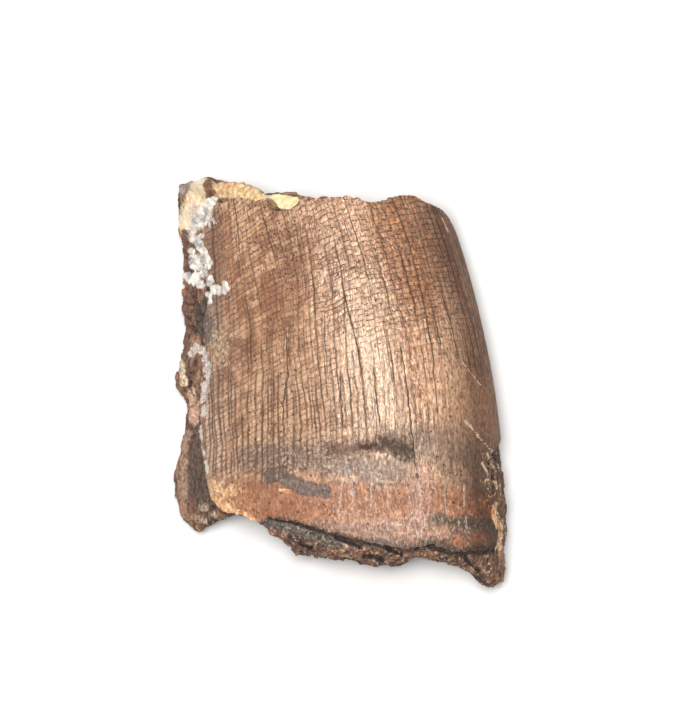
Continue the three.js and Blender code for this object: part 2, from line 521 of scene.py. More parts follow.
def geometry_tree(name: str) -> Tuple[bpy.types.NodeTree, bpy.types.Node]:
    """Starts a geometry tree that takes one mesh and gives another.

    Args:
        name: the tree's name.
    Returns:
        The tree and the node that gives the mesh it takes.
    """
    tree = bpy.data.node_groups.new(name, "GeometryNodeTree")
    for way in ("INPUT", "OUTPUT"):
        tree.interface.new_socket("Geometry", in_out=way, socket_type="NodeSocketGeometry")
    return tree, add_node(tree, "NodeGroupInput")


def carve(obj: bpy.types.Object, name: str, height: "HeightRecipe") -> None:
    """Pushes a mesh along its normals by a height that a recipe gives, and applies it.

    Args:
        obj: the piece.
        name: the name of the geometry tree.
        height: writes the height in millimetres into a tree and returns its node.
    """
    tree, entry = geometry_tree(name)
    push = add_node(tree, MATH, {0: height.write(tree), 1: MM}, operation="MULTIPLY")
    normal = add_node(tree, "GeometryNodeInputNormal")
    offset = add_node(tree, VECTOR_MATH, {0: normal, "Scale": push}, operation="SCALE")
    moved = add_node(tree, "GeometryNodeSetPosition", {"Geometry": entry, "Offset": offset.outputs[0]})
    add_node(tree, "NodeGroupOutput", {0: moved})
    obj.modifiers.new(name, "NODES").node_group = tree
    apply_all(obj)


class HeightRecipe:
    """Something that writes a relief's height into a geometry tree."""

    def write(self, tree: bpy.types.NodeTree) -> bpy.types.Node:
        """Returns the node that gives the height in millimetres."""
        raise NotImplementedError


# ---- The crown ----


@dataclass(frozen=True)
class Crown:
    """The rounded face of the tooth: an egg-shaped section that narrows and leans towards the tip."""

    crest_height: float = 12.5
    crest_fall: float = 0.0046  # how fast the highest line falls away on each side of its top
    crest_top: float = -6.0  # y of that top
    # The next three are curves of y: a start, a slope and a bend.
    crest_line: Curve = (3.15, -0.147, -0.0042)  # x of the highest line
    flat_radius: Curve = (16.6, -0.16, 0.0)  # of the section's left side
    round_radius: Curve = (9.63, -0.02, -0.0022)  # of its right side
    shift: Plan = (0.2075, 0.077)  # from the crown's plan to the frame's
    left_limit: float = -11.5  # x of the enamel's left side, smoothed
    limb: float = math.radians(84)  # past this the front edge turns out of sight from above
    seen: Plan = (-80.0, 84.0)  # degrees from the crest between which its girth is measured
    steps: int = 400  # of that measuring
    span: Plan = (math.radians(-80), math.radians(90))  # in which an angle is sought
    halvings: int = 32  # of that span
    rounds: int = 12  # in which a point's angle settles

    def crest_x(self, y: Number) -> Number:
        """Gives the x of the highest line."""
        return along_curve(self.crest_line, y)

    def crest_z(self, y: Number) -> Number:
        """Gives the height of the highest line."""
        return self.crest_height - self.crest_fall * (y - self.crest_top) ** 2

    def radius(self, angle: Number, y: Number) -> Number:
        """Gives the section's radius at an angle from its crest."""
        share = smooth_step(angle, math.radians(-60), math.radians(60))
        return lerp(along_curve(self.flat_radius, y), along_curve(self.round_radius, y), share)

    def point(self, angle: Array, y: Array, depth: Number = 0.0) -> Array:
        """Gives points of the crown, or of a surface that lies depth below it.

        Args:
            angle: angles from the crest, in radians.
            y: places along the tooth.
            depth: how far below the surface.
        Returns:
            One row for each point.
        """
        r = self.radius(angle, y)
        x = self.crest_x(y) + (r - depth) * np.sin(angle)
        z = self.crest_z(y) - r * (1.0 - np.cos(angle)) - depth * np.cos(angle)
        return np.stack([x, y + 0.0 * x, z], axis=1)

    def angle_over(self, x: Array, y: Array) -> Array:
        """Gives the angle at which the crown passes over points of the plan.

        Args:
            x: the points' x.
            y: their y.
        Returns:
            The angles.
        """
        low, high = [np.full(len(x), end) for end in self.span]
        for _ in range(self.halvings):
            middle = (low + high) / 2.0
            short = self.point(middle, y)[:, 0] < x
            low, high = np.where(short, middle, low), np.where(short, high, middle)
        return (low + high) / 2.0

    def sink(self, points: Array) -> Tuple[Array, Array]:
        """Gives each point's angle from the crest and how far it lies below the crown's surface.

        Args:
            points: one row for each point.
        Returns:
            The angles and the depths.
        """
        x, y, z = points.T
        angle = np.zeros(len(points))
        for _ in range(self.rounds):
            r = self.radius(angle, y)
            angle = np.arctan2(x - self.crest_x(y), z - self.crest_z(y) + r)
        return angle, r - np.hypot(x - self.crest_x(y), z - self.crest_z(y) + r)

    def around(self, angle: Array, y: Array) -> Array:
        """Gives how far round the crown a point lies, so that lines which lean and spread with it keep one value.

        Args:
            angle: angles from the crest.
            y: places along the tooth.
        Returns:
            Millimetres from the crest at the middle of the tooth, in plan on the flat side and round the section on
            the other.
        """
        table = np.radians(np.linspace(*self.seen, self.steps))
        middle = self.point(table, np.zeros(self.steps))
        flat = np.diff(middle[:, 0])
        steps = lerp(flat, np.hypot(flat, np.diff(middle[:, 2])), smooth_step(table[1:], 0.3, 0.9))
        arc = np.concatenate([[0.0], np.cumsum(steps)])
        arc -= np.interp(0.0, table, arc)
        shares = (middle[:, 0] - self.left_limit) / (middle[-1, 0] - self.left_limit)
        end = self.point(np.full(len(y), self.limb), y)[:, 0]
        seen = np.minimum(angle, self.limb)
        share = (self.point(seen, y)[:, 0] - self.left_limit) / (end - self.left_limit)
        return np.interp(share, shares, arc) + self.radius(angle, y) * np.maximum(angle - self.limb, 0.0)

    def to_frame(self, points: Array) -> Array:
        """Turns points of the crown's plan to metres in the frame."""
        return (points + np.array([*self.shift, 0.0])) * MM

    def from_frame(self, points: Array) -> Array:
        """Turns metres in the frame to points of the crown's plan."""
        return points / MM - np.array([*self.shift, 0.0])


# ---- Enamel ----


class CrackNet(NamedTuple):
    """How strong each kind of crack is at a point, from 0 to 1, and the tones of what lies between them."""

    column: bpy.types.Node
    halo: bpy.types.Node
    rung_halo: bpy.types.Node
    fine: bpy.types.Node
    cross: bpy.types.Node
    wrinkle: bpy.types.Node
    pit: bpy.types.Node
    named: bpy.types.Node
    crepe: bpy.types.Node
    column_tone: bpy.types.Node
    cell_tone: bpy.types.Node


def groove(tree: bpy.types.NodeTree, gap: Input, half_width: Input, core: float, force: Input) -> bpy.types.Node:
    """Gives a crack's strength from the distance to its line.

    Args:
        tree: the tree that it goes in.
        gap: the distance.
        half_width: where the crack starts.
        core: where it is full.
        force: its full strength.
    Returns:
        The strength.
    """
    edge = add_node(
        tree,
        RANGE,
        {"Value": gap, "From Min": half_width, "From Max": core},
        interpolation_type="SMOOTHSTEP",
    )
    return add_node(tree, MATH, {0: edge, 1: force}, operation="MULTIPLY")


@dataclass(frozen=True)
class Crazing:
    """The net of drying cracks in the enamel: long ones along it, and short ones across that climb to the right."""

    column_spacing: float = 0.84
    fine_spacing: float = 0.5
    cross_spacing: float = 0.45
    column_half_width: float = 0.085

    def write(self, tree: bpy.types.NodeTree) -> CrackNet:
        """Writes the net into a material's tree or a geometry tree.

        Args:
            tree: the tree.
        Returns:
            The strengths and tones.
        """
        crown = stored(tree, "crown", vector=True)
        axes = add_node(tree, "ShaderNodeSeparateXYZ", {0: crown})
        across, along = axes.outputs[0], axes.outputs[1]
        flat = add_node(tree, "ShaderNodeCombineXYZ", {0: across, 1: along})
        sway = cloud(tree, flat, (0.16, 0.06, 1.0), 1.0, 3.0)
        ripple = cloud(tree, flat, (1.0, 0.5, 1.0), 2.0, 7.0)
        swayed = add_node(tree, MATH, {0: sway, 1: 2.2, 2: across}, operation="MULTIPLY_ADD")
        rippled = add_node(tree, MATH, {0: ripple, 1: 0.42, 2: swayed}, operation="MULTIPLY_ADD")
        # Towards the tip the long cracks lean more, but for those on the front edge.
        tipwards = add_node(tree, RANGE, {"Value": along, "From Min": 6.0, "From Max": 16.0, "To Max": 0.95})
        behind = add_node(tree, RANGE, {"Value": across, "From Min": 7.5, "From Max": 3.0})
        curve = add_node(tree, MATH, {0: tipwards, 1: tipwards}, operation="MULTIPLY")
        warped = add_node(tree, MATH, {0: curve, 1: behind, 2: rippled}, operation="MULTIPLY_ADD")

        # Cracks die out in the smooth band near the base, later on the left and sooner on the right.
        calm = cloud(tree, flat, (0.5, 0.2, 1.0), 1.0, 37.0)
        end = add_node(tree, MATH, {0: calm, 1: 3.0, 2: along}, operation="MULTIPLY_ADD")
        late = add_node(
            tree, RANGE, {"Value": across, "From Min": -9.0, "From Max": -4.0, "To Min": 2.6, "To Max": 0.0}
        )
        later = add_node(tree, MATH, {0: end, 1: late}, operation="ADD")
        early = add_node(tree, RANGE, {"Value": across, "From Min": 3.2, "From Max": 6.8, "To Max": -7.0})
        level = add_node(tree, MATH, {0: later, 1: early}, operation="ADD")
        whole = add_node(tree, RANGE, {"Value": level, "From Min": -5.2, "From Max": -3.4, "To Min": 0.06})

        # Long cracks, each of which swells and dies away along the tooth.
        line = add_node(tree, MATH, {0: warped, 1: self.column_spacing}, operation="DIVIDE")
        columns = split_unevenly(tree, line, self.column_spacing, 0.62)
        own = add_node(tree, "ShaderNodeCombineXYZ", {0: columns.cut, 1: along})
        swell = cloud(tree, own, (3.7, 0.13, 1.0), 1.0, 11.0)
        live = add_node(tree, RANGE, {"Value": swell, "From Min": 0.4, "From Max": 0.64, "To Min": 0.2})
        force = add_node(tree, MATH, {0: live, 1: whole}, operation="MULTIPLY")
        width = add_node(tree, MATH, {0: force, 1: self.column_half_width, 2: 0.02}, operation="MULTIPLY_ADD")
        column = groove(tree, columns.gap, width, 0.02, force)
        halo = groove(tree, columns.gap, 0.26, 0.04, force)

        # Finer ones between them, in broken lengths.
        line = add_node(tree, MATH, {0: warped, 1: self.fine_spacing}, operation="DIVIDE")
        fines = split_unevenly(tree, line, self.fine_spacing, 0.7)
        own = add_node(tree, "ShaderNodeCombineXYZ", {0: fines.cut, 1: along})
        broken = cloud(tree, own, (5.3, 0.33, 1.0), 2.0, 17.0)
        often = add_node(tree, RANGE, {"Value": broken, "From Min": 0.41, "From Max": 0.53})
        # Low on the left they are as close, straight and dark as a comb.
        left = add_node(tree, RANGE, {"Value": across, "From Min": 2.2, "From Max": -1.5, "To Min": 0.1})
        comb = add_node(tree, RANGE, {"Value": along, "From Min": 6.0, "From Max": -1.0, "To Max": left})
        steady = add_node(tree, RANGE, {"Value": broken, "From Min": 0.3, "From Max": 0.48, "To Max": comb})
        more = add_node(tree, MATH, {0: often, 1: steady}, operation="MAXIMUM")
        darker = add_node(tree, MATH, {0: comb, 1: 0.35, 2: 0.65}, operation="MULTIPLY_ADD")
        kept = add_node(tree, MATH, {0: more, 1: darker}, operation="MULTIPLY")
        present = add_node(tree, MATH, {0: kept, 1: whole}, operation="MULTIPLY")
        width = add_node(tree, MATH, {0: comb, 1: 0.045, 2: 0.1}, operation="MULTIPLY_ADD")
        fine = groove(tree, fines.gap, width, 0.015, present)

        # Cross cracks, which stop or step at each long crack.
        bend = add_node(tree, MATH, {0: across, 1: -0.0125, 2: 0.255}, operation="MULTIPLY_ADD")
        climb = add_node(tree, MATH, {0: across, 1: bend}, operation="MULTIPLY")
        level = add_node(tree, MATH, {0: along, 1: climb}, operation="SUBTRACT")
        step = add_node(tree, "ShaderNodeTexWhiteNoise", {"W": columns.length}, noise_dimensions="1D")
        stepped = add_node(tree, MATH, {0: step, 1: 0.5 * self.cross_spacing, 2: level}, operation="MULTIPLY_ADD")
        wobble = cloud(tree, flat, (0.7, 0.6, 1.0), 2.0, 23.0)
        wavy = add_node(tree, MATH, {0: wobble, 1: 0.6, 2: stepped}, operation="MULTIPLY_ADD")
        line = add_node(tree, MATH, {0: wavy, 1: self.cross_spacing}, operation="DIVIDE")
        rungs = split_unevenly(tree, line, self.cross_spacing, 0.6)
        own = add_node(tree, "ShaderNodeCombineXYZ", {0: rungs.cut, 1: fines.length})
        chance = add_node(tree, "ShaderNodeTexWhiteNoise", {"Vector": own}, noise_dimensions="2D")
        kept = add_node(tree, RANGE, {"Value": chance, "From Min": -0.1, "From Max": 0.5})
        reach = cloud(tree, flat, (0.3, 0.3, 1.0), 2.0, 29.0)
        faded = add_node(tree, MATH, {0: reach, 1: 9.0, 2: along}, operation="MULTIPLY_ADD")
        high = add_node(tree, RANGE, {"Value": faded, "From Min": 5.0, "From Max": 11.0})
        front = add_node(tree, RANGE, {"Value": across, "From Min": 10.5, "From Max": 7.5})
        side = add_node(tree, RANGE, {"Value": across, "From Min": 0.0, "From Max": -4.5, "To Max": 0.8})
        lower = add_node(tree, MATH, {0: side, 1: whole}, operation="MULTIPLY")
        most = add_node(tree, MATH, {0: high, 1: lower}, operation="MAXIMUM")
        zone = add_node(tree, MATH, {0: most, 1: front}, operation="MULTIPLY")
        seen = add_node(tree, MATH, {0: zone, 1: kept}, operation="MULTIPLY")
        cross = groove(tree, rungs.gap, 0.08, 0.012, seen)
        rung_halo = groove(tree, rungs.gap, 0.21, 0.02, seen)

        # Wrinkles: thin wandering lines that run along the tooth and break off.
        path = add_node(tree, "ShaderNodeCombineXYZ", {0: warped, 1: along})
        folds = cloud(tree, path, (3.4, 0.8, 1.0), 2.0, 43.0)
        off = add_node(tree, MATH, {0: folds, 1: 0.5}, operation="SUBTRACT")
        size = add_node(tree, MATH, {0: off}, operation="ABSOLUTE")
        breaks = cloud(tree, flat, (1.5, 0.9, 1.0), 2.0, 47.0)
        low = add_node(tree, RANGE, {"Value": along, "From Min": 5.0, "From Max": -3.0, "To Max": 0.14})
        more = add_node(tree, MATH, {0: breaks, 1: low}, operation="ADD")
        some = add_node(tree, RANGE, {"Value": more, "From Min": 0.42, "From Max": 0.58})
        wrinkle = groove(tree, size, 0.034, 0.004, some)

        # Crepe: small drawn-out puckers, strongest low on the crest.
        puckers = cloud(tree, path, (4.6, 1.5, 1.0), 2.5, 53.0)
        crest = add_node(tree, RANGE, {"Value": across, "From Min": -7.0, "From Max": 1.0, "To Min": 0.35})
        low = add_node(tree, MATH, {0: crest, 1: -0.27}, operation="MULTIPLY")
        high = add_node(tree, MATH, {0: crest, 1: 0.73}, operation="MULTIPLY")
        crepe = add_node(
            tree, RANGE, {"Value": puckers, "From Min": 0.3, "From Max": 0.7, "To Min": low, "To Max": high}
        )

        # Pits on the upper right, and wherever cracks meet.
        meeting = add_node(tree, MATH, {0: column, 1: cross}, operation="MULTIPLY")
        spots = add_node(tree, VECTOR_MATH, {0: path, 1: (2.3, 2.1, 1.0)}, operation="MULTIPLY")
        dots = add_node(
            tree, "ShaderNodeTexVoronoi", {"Vector": spots, "Scale": 1.0}, voronoi_dimensions="2D", feature="F1"
        )
        picked = add_node(tree, "ShaderNodeSeparateXYZ", {0: dots.outputs["Color"]})
        upper = add_node(tree, MATH, {0: across, 1: 0.5, 2: along}, operation="MULTIPLY_ADD")
        wanted = add_node(
            tree, RANGE, {"Value": upper, "From Min": 2.0, "From Max": 10.0, "To Min": 0.85, "To Max": 0.0}
        )
        some = add_node(tree, MATH, {0: picked, 1: wanted}, operation="GREATER_THAN")
        dot = groove(tree, dots, 0.27, 0.08, some)
        pit = add_node(tree, MATH, {0: meeting, 1: dot}, operation="MAXIMUM")

        tone = add_node(tree, "ShaderNodeTexWhiteNoise", {"W": columns.cut}, noise_dimensions="1D")
        own = add_node(tree, "ShaderNodeCombineXYZ", {0: rungs.length, 1: columns.length})
        cell = add_node(tree, "ShaderNodeTexWhiteNoise", {"Vector": own}, noise_dimensions="2D")
        waver = cloud(tree, flat, (1.6, 1.3, 1.0), 2.0, 61.0)
        off = add_node(tree, MATH, {0: waver, 1: 0.3, 2: -0.15}, operation="MULTIPLY_ADD")
        shifted = add_node(tree, MATH, {0: stored(tree, "named_gap"), 1: off}, operation="ADD")
        gap = add_node(tree, MATH, {0: shifted}, operation="ABSOLUTE")
        force = stored(tree, "named_force")
        width = add_node(tree, MATH, {0: force, 1: 0.06, 2: 0.03}, operation="MULTIPLY_ADD")
        named = groove(tree, gap, width, 0.015, force)
        return CrackNet(column, halo, rung_halo, fine, cross, wrinkle, pit, named, crepe, tone, cell)


@dataclass(frozen=True)
class EnamelRelief(HeightRecipe):
    """The relief of the crazed face: cracks sunk between slightly puffed cells, on a faintly uneven crown."""

    crazing: Crazing
    column_depth: float = 0.015
    cross_depth: float = 0.007
    named_depth: float = 0.036
    crepe_height: float = 0.032

    def write(self, tree: bpy.types.NodeTree) -> bpy.types.Node:
        """Writes the height.

        Args:
            tree: the geometry tree.
        Returns:
            The node that gives the height in millimetres.
        """
        net = self.crazing.write(tree)
        height: Input = add_node(tree, MATH, {0: net.crepe, 1: self.crepe_height}, operation="MULTIPLY")
        for share, depth in (
            (net.halo, self.column_depth),
            (net.rung_halo, self.cross_depth),
            (net.named, self.named_depth),
        ):
            height = add_node(tree, MATH, {0: share, 1: -depth, 2: height}, operation="MULTIPLY_ADD")
        crown = stored(tree, "crown", vector=True)
        swells = cloud(tree, crown, (0.35, 0.12, 0.0), 2.0, 41.0)
        height = add_node(tree, MATH, {0: swells, 1: 0.16, 2: height}, operation="MULTIPLY_ADD")
        depth = add_node(tree, "ShaderNodeSeparateXYZ", {0: crown})
        face = add_node(tree, RANGE, {"Value": depth.outputs[2], "From Min": 0.2, "From Max": 0.0})
        return add_node(tree, MATH, {0: height, 1: face}, operation="MULTIPLY")


@dataclass(frozen=True)
class CrazedEnamel:
    """Tooth enamel turned to brown apatite, crazed by drying and dulled by handling.

    The eye gets warm brown cells parted by dark cracks, a soft satin sheen along the crest that the cracks break
    up, and iron and manganese stains near the base.
    """

    crazing: Crazing
    stains: Tuple[Stain, ...]
    browns: Tuple[str, str, str] = ("#a77355", "#d5a27d", "#e6b691")
    brown_stops: Tuple[float, float, float] = (0.72, 0.93, 1.0)
    crack: str = "#5a4234"
    deep: str = "#33251d"
    # painted shade, multiplied over the front edge where it turns away from the light
    limb: str = "#9c8c7e"
    section: str = "#8a6a55"  # of its broken edge
    sheen: str = "#fff6ea"  # iron in the surface warms its gloss a little
    roughness: float = 0.29
    ior: float = 1.62  # apatite

    def material(self) -> bpy.types.Material:
        """Makes the material.

        Returns:
            The material.
        """
        made = empty_material("apatite_enamel_crazed_brown")
        tree = made.node_tree
        place = place_in_mm(tree)
        net = self.crazing.write(tree)
        crown = stored(tree, "crown", vector=True)
        axes = add_node(tree, "ShaderNodeSeparateXYZ", {0: crown})

        # Brown that drifts over the face, with streaks along the tooth and a tone of its own in each cell.
        drift = cloud(tree, place, (0.14, 0.1, 0.14), 3.0, 2.0)
        streaks = cloud(tree, crown, (1.6, 0.16, 0.0), 3.0, 5.0)
        both = add_node(tree, MATH, {0: streaks, 1: 0.5, 2: drift}, operation="MULTIPLY_ADD")
        cells = add_node(tree, MATH, {0: net.cell_tone, 1: 0.24, 2: both}, operation="MULTIPLY_ADD")
        tone = add_node(tree, MATH, {0: net.column_tone, 1: 0.12, 2: cells}, operation="MULTIPLY_ADD")
        browns = add_node(tree, "ShaderNodeValToRGB", {0: tone})
        set_tones(browns.color_ramp, self.brown_stops, self.browns)
        colour = lay_stains(tree, self.stains, False, browns, place)

        # Grains and puckers: random specks, with painted shade in the puckers' hollows and painted light on their
        # tops.
        specks = cloud(tree, crown, (5.5, 3.2, 0.0), 3.0, 13.0)
        pucker_shading_and_specks = add_node(tree, MATH, {0: net.crepe, 1: 0.48, 2: specks}, operation="MULTIPLY_ADD")
        spread = add_node(
            tree, RANGE, {"Value": pucker_shading_and_specks, "From Min": 0.34, "From Max": 0.86, "To Min": 0.56, "To Max": 1.42}
        )
        colour = add_node(
            tree, MIX, {0: 1.0, 6: colour, 7: spread}, data_type="RGBA", blend_type="MULTIPLY"
        ).outputs[2]

        # Cracks, dark with what has settled in them; the faint darkening of the halo round each long crack is
        # painted shade in its shallow trough.
        for share, shade, force in (
            (net.halo, self.crack, 0.2),
            (net.wrinkle, self.crack, 0.55),
            (net.fine, self.crack, 0.86),
            (net.cross, self.crack, 0.76),
            (net.column, self.crack, 0.9),
            (net.pit, self.deep, 0.75),
            (net.named, self.deep, 0.9),
        ):
            part = add_node(tree, MATH, {0: share, 1: force}, operation="MULTIPLY")
            colour = add_node(tree, MIX, {0: part, 6: colour, 7: linear(shade)}, data_type="RGBA").outputs[2]

        # The front edge is smoother and duller, and painted shade is multiplied in where it turns away from the
        # light; the broken rim shows a paler section.
        lower = add_node(tree, RANGE, {"Value": axes.outputs[1], "From Min": 4.5, "From Max": -5.5, "To Max": 1.5})
        front = add_node(tree, MATH, {0: axes.outputs[0], 1: lower}, operation="ADD")
        limb_shade_and_dullness = add_node(tree, RANGE, {"Value": front, "From Min": 5.2, "From Max": 9.2})
        colour = add_node(
            tree, MIX, {0: limb_shade_and_dullness, 6: colour, 7: linear(self.limb)}, data_type="RGBA", blend_type="MULTIPLY"
        ).outputs[2]
        colour = lay_stains(tree, self.stains, True, colour, place)
        rim = add_node(tree, RANGE, {"Value": axes.outputs[2], "From Min": 0.05, "From Max": 0.4})
        colour = add_node(tree, MIX, {0: rim, 6: colour, 7: linear(self.section)}, data_type="RGBA").outputs[2]

        cracked: Input = add_node(tree, MATH, {0: net.column, 1: net.cross}, operation="MAXIMUM")
        cracked = add_node(tree, MATH, {0: cracked, 1: net.named}, operation="MAXIMUM")
        matt = cloud(tree, place, (0.5, 0.3, 0.5), 3.0, 9.0)
        low, high = self.roughness - 0.06, self.roughness + 0.08
        dull = add_node(
            tree, RANGE, {"Value": matt, "From Min": 0.3, "From Max": 0.7, "To Min": low, "To Max": high}
        )
        rough: Input = add_node(tree, MATH, {0: cracked, 1: 0.5, 2: dull}, operation="MULTIPLY_ADD")
        rough = add_node(tree, MATH, {0: limb_shade_and_dullness, 1: 0.4, 2: rough}, operation="MULTIPLY_ADD", use_clamp=True)
        for stain in self.stains:
            if stain.matt:
                share = stain.share(tree, place)
                rough = add_node(
                    tree, MATH, {0: share, 1: stain.matt, 2: rough}, operation="MULTIPLY_ADD", use_clamp=True
                )
        # Creases finer than the mesh, drawn about as fine as they are.
        creases = cloud(tree, crown, (6.5, 2.6, 0.0), 4.0, 31.0)
        puffed = add_node(tree, MATH, {0: net.crepe, 1: 1.1, 2: creases}, operation="MULTIPLY_ADD")
        sunk = add_node(tree, MATH, {0: net.wrinkle, 1: -0.5, 2: puffed}, operation="MULTIPLY_ADD")
        cut = add_node(tree, MATH, {0: cracked, 1: -0.1, 2: sunk}, operation="MULTIPLY_ADD")
        bump = add_node(tree, "ShaderNodeBump", {"Height": cut, "Strength": 0.6, "Distance": 0.045 * MM})
        surface = {
            "Base Color": colour,
            "Roughness": rough,
            "IOR": self.ior,
            "Specular Tint": linear(self.sheen),
            "Normal": bump,
        }
        shader = add_node(tree, "ShaderNodeBsdfPrincipled", surface)
        add_node(tree, "ShaderNodeOutputMaterial", {"Surface": shader})
        return made


@dataclass
class EnamelShell:
    """The enamel that is left: a thin shell on the crown, with a chipped rim all round."""

    crown: Crown
    finish: CrazedEnamel
    columns: int = 400
    rows: int = 222
    under_columns: int = 60
    under_rows: int = 34
    thickness: float = 0.62
    crease: float = 50.0
    rim_levels: Tuple[float, ...] = (0.12, 0.36, 0.62)
    rim_stray: float = 0.07  # how far its broken wall strays
    side_stray: float = 0.05
    end_strays: Plan = (0.18, 0.09)  # how far chips bite into the lower and upper ends
    end_width: float = 28.0
    end_power: int = 8  # how fast an end's chips die out inwards
    samples: int = 1200  # along an end
    under_edge: float = math.radians(95)  # from the crest, where it reaches under the front edge
    under_from: Plan = (-6.0, -3.4)  # y over which it comes to reach that far
    front_strays: Plan = (0.012, 0.04)  # in radians, below and above that
    # Where the enamel stops, side by side.
    top: Outline = (
        (-10.6, 15.0), (-9.6, 15.2), (-8.8, 15.6), (-7.4, 15.2), (-6.4, 15.5), (-5.7, 14.3), (-4.4, 14.4),
        (-3.7, 15.1), (-2.9, 15.5), (-1.9, 15.3), (0.4, 15.5), (2.3, 15.0), (3.6, 15.2), (4.9, 15.6), (5.9, 15.7),
        (7.0, 15.1), (8.4, 14.5), (9.1, 13.8),
    )
    bottom: Outline = (
        (-11.1, -9.9), (-10.2, -10.8), (-8.6, -11.1), (-7.0, -11.7), (-6.0, -11.3), (-3.8, -11.6), (-0.9, -12.5),
        (2.5, -13.3), (5.4, -13.9), (7.4, -13.3), (9.3, -14.1), (12.8, -13.9),
    )
    left: Outline = (
        (-11.1, -9.9), (-11.7, -7.6), (-12.1, -4.2), (-11.6, -2.2), (-11.3, 1.5), (-11.8, 5.3), (-11.0, 7.8),
        (-11.3, 10.2), (-11.9, 12.7), (-11.3, 14.0), (-10.6, 15.0),
    )
    right: Outline = (
        (13.0, -13.9), (13.1, -11.9), (12.7, -10.4), (12.4, -8.4), (12.0, -6.9), (12.6, -5.8), (12.8, -5.0),
    )
    right_ends: Plan = (-13.8, 11.6)  # y at which the lower and upper ends meet the front edge
    named_cracks: Tuple[Mark, ...] = (
        Mark(((-4.72, 5.0), (-4.55, 0.51), (-4.93, -1.62), (-4.97, -3.23), (-4.7, -4.9)), 0.2),
        Mark(((-0.21, 1.45), (0.04, -4.42)), 0.2),
        Mark(((0.1, 8.0), (0.5, 5.9), (1.15, 3.57), (1.74, -0.09)), 0.2),
        Mark(((2.59, 1.7), (2.76, -0.77), (3.19, -4.0)), 0.2),
        Mark(((4.72, 3.57), (5.23, 0.85), (5.65, -2.89), (5.99, -6.2), (6.25, -7.7)), 0.2),
    )

    def edge_angle(self, outline: Outline, y: Array) -> Array:
        """Gives the angle of a side's outline.

        Args:
            outline: the side, in plan.
            y: places along the tooth.
        Returns:
            The angle at each.
        """
        points = np.array(sorted((py, px) for px, py in outline))
        x = np.interp(y, points[:, 0], points[:, 1]) + self.side_stray * ragged(y, outline[0][0])
        return self.crown.angle_over(x, y)

    def side_angles(self, y: Array) -> Tuple[Array, Array]:
        """Gives the angles of the left and right edges.

        Args:
            y: places along the tooth.
        Returns:
            The left edge's angle at each, and the right edge's.
        """
        whole = smooth_step(y, *self.under_from)
        right = lerp(self.edge_angle(self.right, y), self.under_edge, whole)
        return self.edge_angle(self.left, y), right + lerp(*self.front_strays, whole) * ragged(0.8 * y, 9.0)

    def end_rim(self, outline: Outline, end_y: float) -> Tuple[Array, Array]:
        """Gives an end's outline over the share of the way across, as it is and with its chips smoothed away.

        Args:
            outline: the outline in plan.
            end_y: where it meets the front edge.
        Returns:
            y at even shares, twice.
        """
        x, y = np.array(outline).T
        left, right = self.side_angles(y)
        across = (self.crown.angle_over(x, y) - left) / (right - left)
        shares = np.linspace(0.0, 1.0, self.samples)
        exact = np.interp(shares, np.append(across, 1.0), np.append(y, end_y))
        calm = np.mean([np.interp(shares + d, shares, exact) for d in (-0.12, -0.06, 0.0, 0.06, 0.12)], axis=0)
        stray = self.end_strays[0 if outline is self.bottom else 1]
        exact = exact + stray * ragged(shares * self.end_width, end_y) * smooth_step(shares, 0.0, 0.05)
        return exact, calm

    def place(self, a: Array, b: Array, depth: Number) -> Tuple[Array, Array]:
        """Gives the points of the shell at shares of the way across and along it.

        Args:
            a: shares across.
            b: shares along.
            depth: how far below the surface.
        Returns:
            The points in the crown's plan, and for each how far round and along it lies, with its share of depth.
        """
        shares = np.linspace(0.0, 1.0, self.samples)
        low, low_calm = [np.interp(a, shares, r) for r in self.end_rim(self.bottom, self.right_ends[0])]
        high, high_calm = [np.interp(a, shares, r) for r in self.end_rim(self.top, self.right_ends[1])]
        y = lerp(low_calm, high_calm, b)
        y = y + (high - high_calm) * b**self.end_power + (low - low_calm) * (1.0 - b) ** self.end_power
        left, right = self.side_angles(y)
        angle = lerp(left, right, a)
        tag = np.stack([self.crown.around(angle, y), y, depth / self.thickness + 0.0 * y], axis=1)
        return self.crown.point(angle, y, depth), tag

    def margin(self, angle: Array, y: Array) -> Array:
        """Gives how far inside the rim a place of the crown lies.

        Args:
            angle: angles from the crest.
            y: places along the tooth.
        Returns:
            Millimetres, below 0 outside.
        """
        shares = np.linspace(0.0, 1.0, self.samples)
        left, right = self.side_angles(y)
        a = (angle - left) / (right - left)
        low = np.interp(a, shares, self.end_rim(self.bottom, self.right_ends[0])[0])
        high = np.interp(a, shares, self.end_rim(self.top, self.right_ends[1])[0])
        radius = self.crown.radius(angle, y)
        return np.min([(angle - left) * radius, (right - angle) * radius, y - low, high - y], axis=0)

    def sheet(self, name: str, columns: int, rows: int, depth: float) -> bpy.types.Object:
        """Adds a grid and lays it on the crown, or depth below it.

        Args:
            name: the object's name.
            columns: cells across.
            rows: cells along.
            depth: how far below the surface.
        Returns:
            The grid.
        """
        bpy.ops.object.select_all(action="DESELECT")
        bpy.ops.mesh.primitive_grid_add(x_subdivisions=columns, y_subdivisions=rows, size=1.0)
        sheet = bpy.context.active_object
        sheet.name = name
        shares = places(sheet.data) + 0.5
        store(sheet.data, "share", shares)
        points, tag = self.place(shares[:, 0], shares[:, 1], depth)
        store(sheet.data, "crown", tag)
        set_places(sheet.data, self.crown.to_frame(points))
        return sheet

